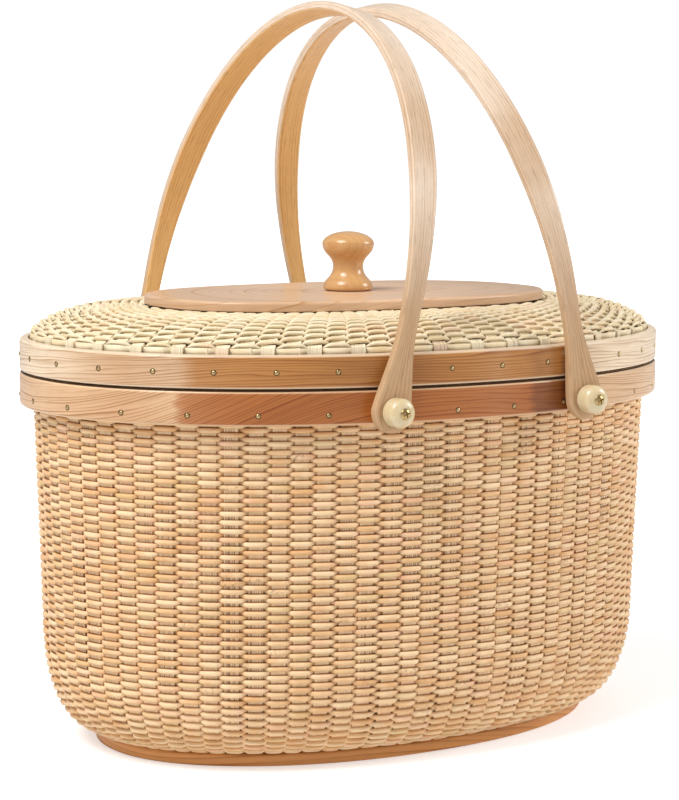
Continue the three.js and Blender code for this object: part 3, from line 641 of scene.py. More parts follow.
def weave(name, wall, staves, start, end, turns, sizes, parts, seed, height=None, thickness=None, flat=0.5):
    """The weaver's spiral over and under the staves, cut into runs whose ends lie behind a stave."""
    if staves % 2 == 0:
        raise RuntimeError("one weaver needs an odd number of staves")
    height = height or sizes.weaver_height
    thickness = thickness or sizes.weaver_thickness
    step = sizes.steps_per_stave
    count = int(turns * staves * step)
    way_round = WEAVER_START + np.arange(count) / (staves * step)
    uneven = stave_shares(staves, seed)
    closed = np.concatenate([uneven[-1:] - 1, uneven, uneven[:1] + 1, uneven[1:2] + 1])
    number = np.interp(np.mod(way_round, 1), closed, np.arange(-1, staves + 2))
    stave = number + np.floor(way_round) * staves
    wave = np.cos(math.pi * stave)
    ride = np.sin(np.sin(wave * math.pi / 2) * math.pi / 2)
    bumps = np.random.default_rng(seed + 1).normal(0, 1, int(stave.max()) + 3)
    sway = np.interp(stave, np.arange(len(bumps)), bumps)
    way = start + (end - start) * (way_round - way_round[0]) / turns
    way = way + sway * 0.02 * height
    middle, outward = wall.at(way_round, way)
    lift = (sizes.stave_thickness + thickness) / 2
    places = middle + outward * (ride * lift * (1 + 0.04 * sway))[:, None]
    bare = np.interp(stave, np.arange(len(bumps)), np.roll(bumps, 7))
    radii = 0.9 + 0.1 * np.abs(wave) ** 0.35 + 0.035 * bare
    along = np.concatenate([[0], np.cumsum(np.linalg.norm(np.diff(places, axis=0), axis=1))])
    row = np.floor(way_round)
    section = weaver_section(thickness / 2, height / 2, flat)
    cuts = [0]
    for part in range(1, parts):
        near = int(count * part / parts)
        cuts.append(near - step + int(np.argmin(wave[near - step:near + step])))
    cuts.append(count - 1)
    meshes = []
    for part, (first, last) in enumerate(zip(cuts, cuts[1:]), 1):
        run = slice(first, last + 1)
        meshes.append(strand(
            f"{name}_{part}", places[run], outward[run], radii[run], section, along[run], row[run],
            (1 - ride[run]) / 2, flat))
    bpy.data.objects.remove(section)
    return meshes


def stave_strips(name, wall, staves, start, end, sizes, seed, steps, first_row, pitch, rising):
    """Flat staves laid on the middle of a wall, narrower where they stand closer together.

    The attribute "neck" passes a whole number wherever the weaver crosses over the stave; the finish paints shade from
    it just past each crossing.
    """
    bm = bmesh.new()
    spot = bm.verts.layers.float_vector.new("strand")
    neck = bm.verts.layers.float.new("neck")
    for number, share in enumerate(stave_shares(staves, seed)):
        made = bmesh.ops.create_grid(bm, x_segments=2, y_segments=steps, size=0.5)["verts"]
        flat = np.array([vert.co for vert in made])
        way = start + (end - start) * (flat[:, 1] + 0.5)
        width = np.minimum(
            sizes.stave_width, STAVE_ROOM * wall.crowding(np.full(len(way), share), way) * RIM_OVAL.round / staves)
        middle, outward = wall.at(np.full(len(way), share), way)
        side = np.cross(outward, np.gradient(wall.at(np.full(2, share), np.array([start, end]))[0], axis=0)[0])
        side /= np.linalg.norm(side, axis=1)[:, None]
        places = middle + side * (flat[:, 0] * width)[:, None]
        for vert, place, distance, across in zip(made, places, way, flat[:, 0]):
            vert.co = place
            vert[spot] = (distance, number * 3.7, across)
            # Counts the crossings, so that the finish can paint shade just past each one.
            crossing = (distance - first_row - pitch * (share - WEAVER_START + number % 2)) / (2 * pitch)
            vert[neck] = max(crossing, 0) * (-1 if rising else 1)
    return mesh_from(bm, name)


# Finishes


class Signal:
    """A node's output that sums can be written with."""

    def __init__(self, socket):
        self.socket, self.tree = socket, socket.id_data

    def __add__(self, other):
        return calc("ADD", self, other)

    def __sub__(self, other):
        return calc("SUBTRACT", self, other)

    def __mul__(self, other):
        return calc("MULTIPLY", self, other)

    def __truediv__(self, other):
        return calc("DIVIDE", self, other)

    def __abs__(self):
        return calc("ABSOLUTE", self)


def fill(socket, value):
    """Links a signal to a socket, or sets the socket's own value."""
    if isinstance(value, Signal):
        socket.id_data.links.new(value.socket, socket)
    else:
        socket.default_value = value


def put(tree, kind, inputs=(), **settings):
    """Adds a node, sets its properties and fills its sockets."""
    made = tree.nodes.new(kind)
    for key, value in settings.items():
        setattr(made, key, value)
    for key, value in dict(inputs).items():
        fill(made.inputs[key], value)
    return made


def signal(tree, kind, inputs=(), output=0, **settings):
    """Adds a node and gives one of its outputs."""
    return Signal(put(tree, kind, inputs, **settings).outputs[output])


def outputs_of(node):
    return {socket.name: Signal(socket) for socket in node.outputs}


def tree_of(values):
    return next(value.tree for value in values if isinstance(value, Signal))


def calc(operation, *values):
    """A sum, product or other step of arithmetic."""
    return signal(tree_of(values), "ShaderNodeMath", enumerate(values), operation=operation)


def vector_calc(operation, *values, output=0):
    """A step of arithmetic with colours or vectors. SCALE takes a vector and a number."""
    sockets = (0, "Scale") if operation == "SCALE" else (0, 1)
    return signal(tree_of(values), "ShaderNodeVectorMath", zip(sockets, values), output, operation=operation)


def vector_of(*numbers):
    return signal(tree_of(numbers), "ShaderNodeCombineXYZ", enumerate(numbers))


def parts_of(vector):
    return [Signal(socket) for socket in put(vector.tree, "ShaderNodeSeparateXYZ", {0: vector}).outputs]


def blend(share, first, second):
    """Mixes two colours by a share."""
    return signal(share.tree, "ShaderNodeMix", {0: share, 6: first, 7: second}, 2, data_type="RGBA")


def smooth_step(value, low, high):
    """Rises from 0 to 1 between two values."""
    return signal(
        value.tree, "ShaderNodeMapRange", {"Value": value, "From Min": low, "From Max": high},
        interpolation_type="SMOOTHSTEP")


def noise(vector, detail=2.0, roughness=0.5, scale=1.0):
    return signal(
        vector.tree, "ShaderNodeTexNoise",
        {"Vector": vector, "Scale": scale, "Detail": detail, "Roughness": roughness}, "Fac")


def stretched_noise(vector, scale, detail=2.0, roughness=0.5):
    """Noise read through a stretched copy of a vector."""
    return noise(vector_calc("MULTIPLY", vector, scale), detail, roughness)


def attribute(tree, name, output="Fac"):
    return signal(tree, "ShaderNodeAttribute", output=output, attribute_name=name)


def place_on(tree, output="Object"):
    return signal(tree, "ShaderNodeTexCoord", output=output)


def rgba(colour):
    """A colour with full alpha; a signal stays as it is."""
    return colour if isinstance(colour, Signal) else (*colour, 1.0)


def times(colour, factors):
    return tuple(value * factor for value, factor in zip(colour, factors))


def wood_grain(given):
    """Growth rings, slow changes of tone and open pores along a grain.

    The vector's first number runs along the grain and its second across the rings, in metres.
    """
    along, across = parts_of(given["Vector"])[:2]
    seed = given["Seed"]
    wander = noise(vector_of(along / given["Wander Length"], across * 110.0, seed))
    ring = (across + (wander - 0.5) * given["Wander"]) / given["Ring Width"]
    saw = calc("FRACT", ring)
    late = calc("POWER", saw, given["Line Sharpness"]) * smooth_step(saw, 1.0, 0.9)
    boldness = noise(vector_of(along * 9.0, calc("FLOOR", ring), seed), detail=1.0, scale=1.7)
    line = late * (smooth_step(boldness, 0.2, 0.7) * 1.7)
    fibre = noise(vector_of(along * 110.0, across * 2600.0, seed))
    pore = smooth_step(fibre, 0.52, 0.7) * given["Pores"]
    tone = noise(vector_of(along * 14.0, across * 90.0, seed + 5.0), detail=3.0)
    share = calc("MINIMUM", line + (tone - 0.3) * 0.9, 1.0)
    pored = blend(pore, blend(share, given["Early Wood"], given["Late Wood"]), (0.12, 0.07, 0.035, 1))
    return {
        "Color": vector_calc("SCALE", pored, fibre * 0.26 + 0.87), "Height": line * -0.12 - pore,
        "Roughness Change": (pore + line) * 0.12}


def split_cane(given):
    """Tone from one stretch of cane to the next, long fibres, a few stained stretches and dark flecks.

    The vector holds the way along the strand in metres, the strand's number and the place round it.
    """
    spot = given["Vector"]

    def here_and_there(scale, low, high):
        return smooth_step(stretched_noise(spot, scale, detail=1.0), low, high)

    patch = stretched_noise(spot, (62.0, 5.3, 0.0), roughness=0.6)
    drift = stretched_noise(spot, (9.0, 1.9, 0.0), detail=1.0)
    fibre = stretched_noise(spot, (120.0, 2.0, 15.0))
    base = blend(smooth_step(patch * 1.5 + drift * 0.9, 0.85, 1.6), given["Light"], given["Dark"])
    marks = smooth_step(stretched_noise(spot, (900.0, 7.7, 2.0), roughness=0.7), 0.5, 0.62)
    lines = here_and_there((6.0, 3.1, 13.0), 0.5, 0.62)
    for share, stain in (
            (here_and_there((38.0, 4.1, 0.0), 0.56, 0.7) * 0.35, (0.9, 0.52, 0.36, 1)),
            (here_and_there((31.0, 7.3, 0.0), 0.57, 0.7) * 0.35, (0.68, 0.52, 0.22, 1)),
            (marks * here_and_there((24.0, 6.1, 0.0), 0.62, 0.72) * given["Flecks"], (0.2, 0.11, 0.05, 1)),
            (lines * here_and_there((14.0, 11.3, 0.0), 0.5, 0.62) * given["Streaks"], (0.22, 0.12, 0.06, 1))):
        base = blend(share, base, stain)
    return {"Color": vector_calc("SCALE", base, fibre * 0.6 + 0.7), "Height": fibre}


# What builds each shared group, and its sockets with their values: None is a vector, a tuple is a colour
NODE_GROUPS = {
    "Wood grain": (wood_grain, {
        "Vector": None, "Early Wood": (0.7, 0.5, 0.3, 1), "Late Wood": (0.5, 0.3, 0.15, 1), "Ring Width": 0.003,
        "Wander": 0.006, "Wander Length": 0.1, "Pores": 0.3, "Seed": 0.0, "Line Sharpness": 3.2}),
    "Split cane": (split_cane, {
        "Vector": None, "Light": (0.8, 0.6, 0.35, 1), "Dark": (0.6, 0.4, 0.2, 1), "Flecks": 0.5, "Streaks": 0.0}),
}


def node_group(name):
    """The shared node group of that name, built when it is first asked for."""
    if name in bpy.data.node_groups:
        return bpy.data.node_groups[name]
    build, defaults = NODE_GROUPS[name]
    tree = bpy.data.node_groups.new(name, "ShaderNodeTree")
    for socket, default in defaults.items():
        kind = "Vector" if default is None else "Color" if isinstance(default, tuple) else "Float"
        made = tree.interface.new_socket(name=socket, in_out="INPUT", socket_type="NodeSocket" + kind)
        if default is not None:
            made.default_value = default
    results = build(outputs_of(tree.nodes.new("NodeGroupInput")))
    for socket in results:
        kind = "Color" if socket == "Color" else "Float"
        tree.interface.new_socket(name=socket, in_out="OUTPUT", socket_type="NodeSocket" + kind)
    put(tree, "NodeGroupOutput", results)
    return tree


def feed(shader, height, distance, relief, **values):
    """Fills the shader's sockets, and feeds a height to its normal."""
    for key, value in values.items():
        fill(shader.inputs[key.replace("_", " ")], value)
    if height is not None:
        fill(shader.inputs["Normal"], signal(
            shader.id_data, "ShaderNodeBump", {"Height": height, "Distance": distance, "Strength": relief}))


def cane_finish(shader, light, dark, flecks, streaks, shade_tint):
    """Split cane, satin, darker in patches along each strand, with painted shade in the crevices above each crossing
    and where the weaver dives behind a stave.
    """
    tree = shader.id_data
    cane = outputs_of(put(tree, "ShaderNodeGroup", {
        "Vector": attribute(tree, "strand", "Vector"), "Light": rgba(light), "Dark": rgba(dark),
        "Flecks": flecks, "Streaks": streaks}, node_tree=node_group("Split cane")))
    # Painted shade: the crevice colour is laid along each weaver's upper edge, where it dives behind a stave, and just
    # past each crossing on the staves, fading out towards the bottom.
    hidden = smooth_step(attribute(tree, "hidden"), 0.5, 0.95)
    neck = smooth_step(calc("FRACT", attribute(tree, "neck")), 0.6, 0.72)
    depth = calc("MAXIMUM", hidden, neck) * smooth_step(parts_of(place_on(tree))[2], 10 * MM, 50 * MM)
    deep = blend(depth, (1, 1, 1, 1), rgba(shade_tint))
    feed(shader, cane["Height"], 0.12 * MM, 0.6, Base_Color=vector_calc("MULTIPLY", cane["Color"], deep),
         Roughness=cane["Height"] * 0.2 + 0.4, Specular_IOR_Level=0.4)


def lacquered(shader, vector, early, late, ring, wander, wander_length, pores, rough, seed, coat, coat_rough,
              sharpness=3.2):
    """Wood grain under lacquer. Gives the wood's colour."""
    wood = outputs_of(put(vector.tree, "ShaderNodeGroup", {
        "Vector": vector, "Early Wood": rgba(early), "Late Wood": rgba(late), "Ring Width": ring,
        "Wander": wander, "Wander Length": wander_length, "Pores": pores, "Seed": seed,
        "Line Sharpness": sharpness}, node_tree=node_group("Wood grain")))
    feed(shader, wood["Height"], 0.1 * MM, 0.5, Base_Color=wood["Color"],
         Roughness=wood["Roughness Change"] + rough, Coat_Weight=coat, Coat_Roughness=coat_rough,
         Specular_IOR_Level=0.3)
    return wood["Color"]


def grain_map(tree):
    """The piece's own map: along the grain, then across it."""
    return signal(tree, "ShaderNodeUVMap", uv_map="Grain")


def board_grain(middle, depth, bow):
    """Flat-sawn grain along X: rings round a heart that lies below the board and sinks away from its middle.

    The depth of the heart is in metres, and the bow is how much deeper it lies a metre away from the middle.
    """
    def vector(tree):
        offset = tuple(-value for value in middle)
        x, y, z = parts_of(signal(tree, "ShaderNodeMapping", {"Vector": place_on(tree), "Location": offset}))
        away = vector_calc("LENGTH", vector_of(y, z + depth + x * x * bow), output="Value")
        return vector_of(x, away, z)
    return vector


def turned_grain(tree):
    """Grain of a turned piece: along Z, with the rings across X."""
    x, y, z = parts_of(place_on(tree))
    return vector_of(z, x + y * 0.35, y)


def wood_finish(shader, grain, early, late, ring, wander, wander_length, pores, rough, coat, seed=0.0, sharpness=3.2):
    """Plain lacquered wood; grain gives the vector that runs along and across it."""
    lacquered(
        shader, grain(shader.id_data), early, late, ring, wander, wander_length, pores, rough, seed, coat, 0.18,
        sharpness)


def knob_finish(shader, honey):
    wood_finish(
        shader, turned_grain, honey, times(honey, (0.92, 0.84, 0.75)), 3 * MM, 2 * MM, 0.03, 0.02, 0.24, 0.45)


def handle_finish(shader, outer, low, inner):
    """Bow wood: tan inside, partly the wood's colour and partly painted shade, pale outside, and darker outside near
    its ears and in a few patches.
    """
    tree = shader.id_data
    place = place_on(tree)
    patch = smooth_step(stretched_noise(place, (30.0, 6.0, 22.0), detail=1.0), 0.42, 0.72) * 0.6
    raised = smooth_step(parts_of(place)[2], 0.165, 0.27) * calc("SUBTRACT", 1.0, patch)
    outside = blend(raised, rgba(low), rgba(outer))
    # The inner tan is partly painted shade: the inner faces are made darker and warmer than the outer ones.
    early = blend(smooth_step(attribute(tree, "outer_side"), 0.02, 0.3), rgba(inner), outside)
    late = vector_calc("MULTIPLY", early, (0.8, 0.68, 0.56))
    lacquered(shader, grain_map(tree), early, late, 1.6 * MM, 2.4 * MM, 0.12, 0.4, 0.36, 2.0, 0.12, 0.12)


def hoop_finish(shader, stops, pale, brown, arch_place, arch_height, free_edge, seed):
    """Lacquered hoop wood whose tone changes along the hoop, from pale ends to brown heartwood; the pale is partly
    sapwood and partly painted reflection.

    Each stop is a share of the way round and how brown the wood is there; above 0.8 the brown darkens.
    The rings climb towards one place. Both edges are painted paler, partly wear and partly painted highlight on their
    rounding, and the seam is painted dark in its gap, a painted shade.
    """
    tree = shader.id_data
    along, across = parts_of(grain_map(tree))[:2]
    shaky = stretched_noise(grain_map(tree), (25.0, 300.0, 0.0))
    share = along / RIM_OVAL.round + (shaky - 0.5) * 0.012
    # Low stops give the pale ends: partly sapwood, partly painted reflection of the soft lights at the hoop's ends.
    ramp = put(tree, "ShaderNodeValToRGB", {0: calc("FRACT", share)})
    marks = ramp.color_ramp.elements
    for mark, (position, brownness) in zip((marks[0], marks[1]), (stops[0], stops[-1])):
        mark.position, mark.color = position, (brownness,) * 3 + (1,)
    for position, brownness in stops[1:-1]:
        marks.new(position).color = (brownness,) * 3 + (1,)
    tone = Signal(ramp.outputs[0])
    early = blend(smooth_step(tone, 0.0, 0.8), rgba(pale), rgba(brown))
    early = blend(smooth_step(tone, 0.8, 1.0), early, rgba(times(brown, (0.55, 0.5, 0.5))))
    away = (along - arch_place * RIM_OVAL.round) / (90 * MM)
    away = calc("MINIMUM", away, away * 0.2)
    arch = calc("EXPONENT", away * away * -1.0)
    wood = lacquered(
        shader, vector_of(along, across - arch * arch_height), early, vector_calc("MULTIPLY", early, (0.56, 0.42, 0.3)),
        1.35 * MM, 9 * MM, 0.11, 0.22, 0.3, seed, 0.15, 0.15)
    height, facing = parts_of(place_on(tree))[2], parts_of(place_on(tree, "Normal"))[2]
    gap, free = abs(height - (SEAM + SEAT_GAP / 2)), abs(height - free_edge)
    # Painted highlight on both rounded edges, partly standing for wear: the edges are blended towards the pale colour.
    edge_sheen_and_wear = calc("MAXIMUM", smooth_step(gap, 1.6 * MM, 0.9 * MM), smooth_step(free, 1.2 * MM, 0.5 * MM))
    sheen_and_wear_colour = blend(edge_sheen_and_wear * 0.6, wood, rgba(pale))
    # Painted shade: the seam's gap is darkened on the steep faces of the rounded edges beside it.
    edge = smooth_step(gap, 0.8 * MM, 0.5 * MM) * smooth_step(abs(facing), 0.999, 0.97)
    fill(shader.inputs["Base Color"], blend(edge, sheen_and_wear_colour, (0.07, 0.03, 0.012, 1)))


def bone_finish(shader, colour):
    """Polished cream bone with faint cloudy streaks."""
    cloud = stretched_noise(place_on(shader.id_data), (260.0, 90.0, 260.0), detail=3.0)
    shade = rgba(times(colour, (0.93, 0.86, 0.72)))
    feed(shader, cloud, 0.05 * MM, 0.3, Base_Color=blend(smooth_step(cloud, 0.35, 0.75), rgba(colour), shade),
         Roughness=0.28, Coat_Weight=0.25, Coat_Roughness=0.1, Subsurface_Weight=0.15, Subsurface_Scale=1.5 * MM)


def brass_finish(shader, colour):
    """Brass with small scratches and darker, duller spots."""
    spots = stretched_noise(place_on(shader.id_data), (900.0, 900.0, 900.0), detail=3.0)
    dull = rgba(times(colour, (0.55, 0.55, 0.55)))
    feed(shader, spots, 0.03 * MM, 0.4, Base_Color=blend(smooth_step(spots, 0.45, 0.75), rgba(colour), dull),
         Roughness=spots * 0.25 + 0.2, Metallic=1.0)


def floor_finish(shader, colour):
    """A plain matt floor, very slightly uneven, that glows a little, more so towards its far edge."""
    tree = shader.id_data
    place = place_on(tree)
    cloud = stretched_noise(place, (3.0, 3.0, 3.0))
    seen = signal(tree, "ShaderNodeLightPath", output="Is Camera Ray")
    away = smooth_step(vector_calc("LENGTH", place, output="Value"), 0.25, 0.9)
    feed(shader, None, 0, 0, Base_Color=blend(cloud, rgba(colour), rgba(times(colour, (0.985, 0.985, 0.985)))),
         Roughness=0.9, Specular_IOR_Level=0.2, Emission_Color=(1, 1, 1, 1),
         Emission_Strength=seen * (away * 0.5 + 0.3) + 0.22)


# Share of the way round and how brown the wood is: 0.5 is the left end, 0.75 the middle of the front
# The pale ends are partly sapwood and partly painted reflection of the soft lights.
LID_HOOP_TONES = [
    (0.0, 0.12), (0.1, 0.45), (0.4, 0.4), (0.5, 0.08), (0.535, 0.38), (0.56, 0.48), (0.588, 0.42), (0.597, 0.68),
    (0.63, 0.76), (0.66, 0.84), (0.72, 0.84), (0.757, 0.66), (0.78, 0.9), (0.797, 0.8), (0.803, 0.3), (0.84, 0.15),
    (1.0, 0.12)]
BODY_HOOP_TONES = [
    (0.0, 0.2), (0.1, 0.5), (0.42, 0.45), (0.5, 0.25), (0.56, 0.36), (0.587, 0.3), (0.5905, 0.62), (0.625, 0.8),
    (0.66, 0.82), (0.72, 0.78), (0.757, 0.66), (0.772, 0.74), (0.78, 0.97), (0.803, 0.97), (0.812, 0.3), (0.88, 0.25),
    (1.0, 0.2)]

# What makes each finish, and what it is given; a name stands for one of the colours
FINISHES = {
    # The last colour of each cane finish is painted shade for the crevices above the crossings and where the weaver
    # dives behind a stave.
    "body_cane": (cane_finish, "cane_light", "cane_dark", 0.5, 0.0, (0.45, 0.29, 0.18)),
    "body_stave": (cane_finish, "cane_light", "cane_light", 0.3, 0.75, (0.44, 0.28, 0.17)),
    "lid_cane": (cane_finish, "lid_cane_light", "lid_cane_dark", 0.25, 0.0, (0.2, 0.12, 0.06)),
    "lid_stave": (cane_finish, "lid_cane_light", "lid_cane_light", 0.2, 0.4, (0.16, 0.1, 0.05)),
    "body_hoop": (
        hoop_finish, BODY_HOOP_TONES, "body_hoop_pale", "hoop_brown", 0.7, 46 * MM, BODY_HOOP_BOTTOM, 1.0),
    "lid_hoop": (hoop_finish, LID_HOOP_TONES, "hoop_pale", "lid_hoop_brown", 0.66, 8 * MM, LID_HOOP_TOP, 4.0),
    "inner_strip": (
        wood_finish, grain_map, "hoop_pale", "hoop_brown", 2.5 * MM, 7 * MM, 0.12, 0.2, 0.4, 0.1, 8.0),
    "lid_board": (
        wood_finish, board_grain((0.03, -0.006, LID_BOARD_TOP), 90 * MM, 2.2), "board_light", "board_dark",
        2.6 * MM, 5 * MM, 0.09, 0.1, 0.32, 0.12, 0.0, 9.0),
    "base_board": (
        wood_finish, board_grain((-0.02, 0.012, 0), 190 * MM, 2.0), "base_light", "base_dark",
        2.4 * MM, 5 * MM, 0.1, 0.15, 0.36, 0.12),
    "handle_wood": (handle_finish, "handle_outer", "handle_low", "handle_inner"),
    "knob_wood": (knob_finish, "knob_honey"),
    "polished_bone": (bone_finish, "bone"),
    # Dark wood for the discs of painted shadow round the tacks.
    "tack_hole": (
        wood_finish, board_grain((0, 0, 0), 50 * MM, 0.5), (0.09, 0.045, 0.018), (0.05, 0.025, 0.01),
        2 * MM, 2 * MM, 0.05, 0.2, 0.6, 0.0),
    "scuffed_brass": (brass_finish, "brass"),
    "floor": (floor_finish, "floor"),
}


def finish(name):
    """The material of that name, made when it is first asked for."""
    if name not in bpy.data.materials:
        colours = bpy.context.scene.basket_colours
        make, *details = FINISHES[name]
        material = bpy.data.materials.new(name)
        material.use_nodes = True
        make(material.node_tree.nodes["Principled BSDF"], *(
            tuple(getattr(colours, detail)) if isinstance(detail, str) else detail for detail in details))
    return bpy.data.materials[name]


# The steps of the making


def towards(turn, rise):
    """The way from the basket to what stands that far round and that far up."""
    return Vector((math.sin(turn) * math.cos(rise), -math.cos(turn) * math.cos(rise), math.sin(rise)))


class BASKET_OT_stage(bpy.types.Operator):
    """Set up the camera, the pale floor and the soft lights"""

    bl_idname = "basket.stage"
    bl_label = "Camera, floor and lights"

    def execute(self, context):
        self.add_camera(context)
        self.add_floor(context)
        self.add_lights(context)
        return {"FINISHED"}

    def add_camera(self, context):
        back = towards(CAMERA_TURN, CAMERA_RISE)
        right = Vector((0, 0, 1)).cross(back).normalized()
        up = back.cross(right)
        rolled = right * math.cos(CAMERA_ROLL) + up * math.sin(CAMERA_ROLL)
        upright = back.cross(rolled)
        data = bpy.data.cameras.new("camera")
        data.lens = CAMERA_LENS
        data.sensor_width = CAMERA_SENSOR
        data.clip_end = CAMERA_FAR
        camera = placed("camera", data)
        turn = Matrix((rolled, upright, back)).transposed().to_4x4()
        camera.matrix_world = Matrix.Translation(CAMERA_TARGET + back * CAMERA_DISTANCE) @ turn
        context.scene.camera = camera

    def add_floor(self, context):
        bm = bmesh.new()
        bmesh.ops.create_circle(bm, cap_ends=True, radius=context.scene.basket_stage.floor_radius, segments=128)
        bmesh.ops.translate(bm, vec=(0, 0, -0.05 * MM), verts=bm.verts)
        floor = placed("floor", mesh_from(bm, "floor"))
        floor.data.materials.append(finish("floor"))
        floor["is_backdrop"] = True

    def add_lights(self, context):
        stage = context.scene.basket_stage
        world = bpy.data.worlds.new("studio")
        world.use_nodes = True
        tree = world.node_tree
        seen = tree.nodes["Background"]
        seen.inputs["Color"].default_value = (1, 1, 1, 1)
        seen.inputs["Strength"].default_value = SKY_SEEN
        lit = signal(tree, "ShaderNodeBackground", {"Color": (1, 1, 1, 1), "Strength": stage.sky})
        straight = signal(tree, "ShaderNodeLightPath", output="Is Camera Ray")
        mixed = signal(tree, "ShaderNodeMixShader", {0: straight, 1: lit, 2: Signal(seen.outputs[0])})
        fill(tree.nodes["World Output"].inputs["Surface"], mixed)
        context.scene.world = world
        context.scene.view_settings.view_transform = "Standard"
        for name, (turn, rise, distance, size) in LAMPS.items():
            self.add_lamp(name, turn, rise, distance, size, getattr(stage, name + "_power"))

    def add_lamp(self, name, turn, rise, distance, size, power):
        """A square soft light that faces the basket."""
        back = towards(math.radians(turn), math.radians(rise))
        data = bpy.data.lights.new(name, "AREA")
        data.shape = "SQUARE"
        data.size = size
        data.energy = power
        lamp = placed(name, data)
        lamp.location = CAMERA_TARGET + back * distance
        lamp.rotation_mode = "QUATERNION"
        lamp.rotation_quaternion = back.to_track_quat("Z", "Y")


class BASKET_OT_body_weave(bpy.types.Operator):
    """Weave the body: upright staves and one weaver that goes round and round"""

    bl_idname = "basket.body_weave"
    bl_label = "Woven body"

    def execute(self, context):
        sizes = context.scene.basket_weave
        wall = BodyWall()
        cane = finish("body_cane")
        start, end = 1.4 * MM, wall.length - 5.2 * MM
        strips = stave_strips(
            "body_staves", wall, sizes.body_staves, 0.2 * MM, wall.length - 0.2 * MM, sizes, BODY_SEED, 48,
            start, sizes.row_pitch, rising=False)
        staves = piece("body_staves", strips, "basket", finish("body_stave"), ["woven_body"])
        thicken(staves, sizes.stave_thickness)
        runs = weave(
            "body_weaver", wall, sizes.body_staves, start, end, (end - start) / sizes.row_pitch, sizes, 5,
            BODY_SEED)
        for mesh in runs:
            piece(mesh.name, mesh, "basket", cane)
        return {"FINISHED"}


class BASKET_OT_lid_weave(bpy.types.Operator):
    """Weave the lid: staves that run in to the board and one weaver round them"""

    bl_idname = "basket.lid_weave"
    bl_label = "Woven lid"

    def execute(self, context):
        sizes = context.scene.basket_weave
        wall = LidWall()
        cane = finish("lid_cane")
        hoop_edge = LID_HOOP_TOP - wall.skirt_bottom
        tuck = 0.9 * MM
        strip = hoop_edge + sizes.strip_height / 2 - tuck
        start, end = strip + (sizes.strip_height + sizes.weaver_height) / 2, wall.length - tuck
        strips = stave_strips(
            "lid_staves", wall, sizes.lid_staves, 0, wall.length, sizes, LID_SEED, 36,
            start, sizes.lid_row_pitch, rising=True)
        staves = piece("lid_staves", strips, "lid", finish("lid_stave"), ["lid_weave"])
        thicken(staves, sizes.stave_thickness * 0.9)
        runs = weave(
            "lid_strip", wall, sizes.lid_staves, strip, strip, 1.02, sizes, 1, LID_SEED,
            height=sizes.strip_height, thickness=0.8 * MM, flat=0.85)
        runs += weave(
            "lid_weaver", wall, sizes.lid_staves, start, end, (end - start) / sizes.lid_row_pitch, sizes, 2, LID_SEED,
            thickness=sizes.lid_weaver_thickness, flat=0.7)
        for mesh in runs:
            piece(mesh.name, mesh, "lid", cane)
        return {"FINISHED"}


def thicken(thing, thickness):
    """Gives a flat strip its thickness, half to each side."""
    modifier = thing.modifiers.new("Thickness", "SOLIDIFY")
    modifier.thickness = thickness
    modifier.offset = 0


class BASKET_OT_hoops(bpy.types.Operator):
    """Bend the outer and inner hoops and the lid's locating ring"""

    bl_idname = "basket.hoops"
    bl_label = "Hoops"

    def execute(self, context):
        body = hoop_profile(BODY_HOOP_THICKNESS, BODY_HOOP_BOTTOM, SEAM)
        lid = hoop_profile(LID_HOOP_THICKNESS, LID_HOOP_BOTTOM, LID_HOOP_TOP)
        self.hoop("body_outer_hoop", body, "basket", "body_hoop")
        self.hoop("lid_outer_hoop", lid, "lid", "lid_hoop")
        for node, body_name, inset in (
                ("body_inner_hoop", "basket", BODY_INNER_INSET), ("lid_inner_hoop", "lid", LID_INNER_INSET)):
            low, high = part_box(node)
            edge = 0.6 * MM
            inner = inset + INNER_HOOP_THICKNESS
            profile = [(inset, high.z), (inset, low.z)]
            profile += rounded_corner((inner - edge, low.z + edge), edge, 3, 4)
            profile += rounded_corner((inner - edge, high.z - edge), edge, 0, 1)
            self.hoop(node, profile, body_name, "inner_strip")
        low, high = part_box("lid_locating_ring")
        shoulder = LID_INNER_INSET + INNER_HOOP_THICKNESS + SEAT_GAP
        outer, inner = RING_INSET, RING_INSET + LID_HOOP_THICKNESS
        edge = 0.7 * MM
        profile = rounded_corner((inner - edge, low.z + edge), edge, 4, 3)
        profile += rounded_corner((outer + edge, low.z + edge), edge, 3, 2)
        profile += [(outer, LID_HOOP_BOTTOM), (shoulder, LID_HOOP_BOTTOM), (shoulder, high.z), (inner, high.z)]
        self.hoop("lid_locating_ring", profile, "lid", "inner_strip")
        return {"FINISHED"}

    def hoop(self, node, profile, body, material):
        mesh = turned_oval(node + "_bent", profile, RIM_OVAL)
        even_normals(piece(node + "_bent", mesh, body, finish(material), [node]))


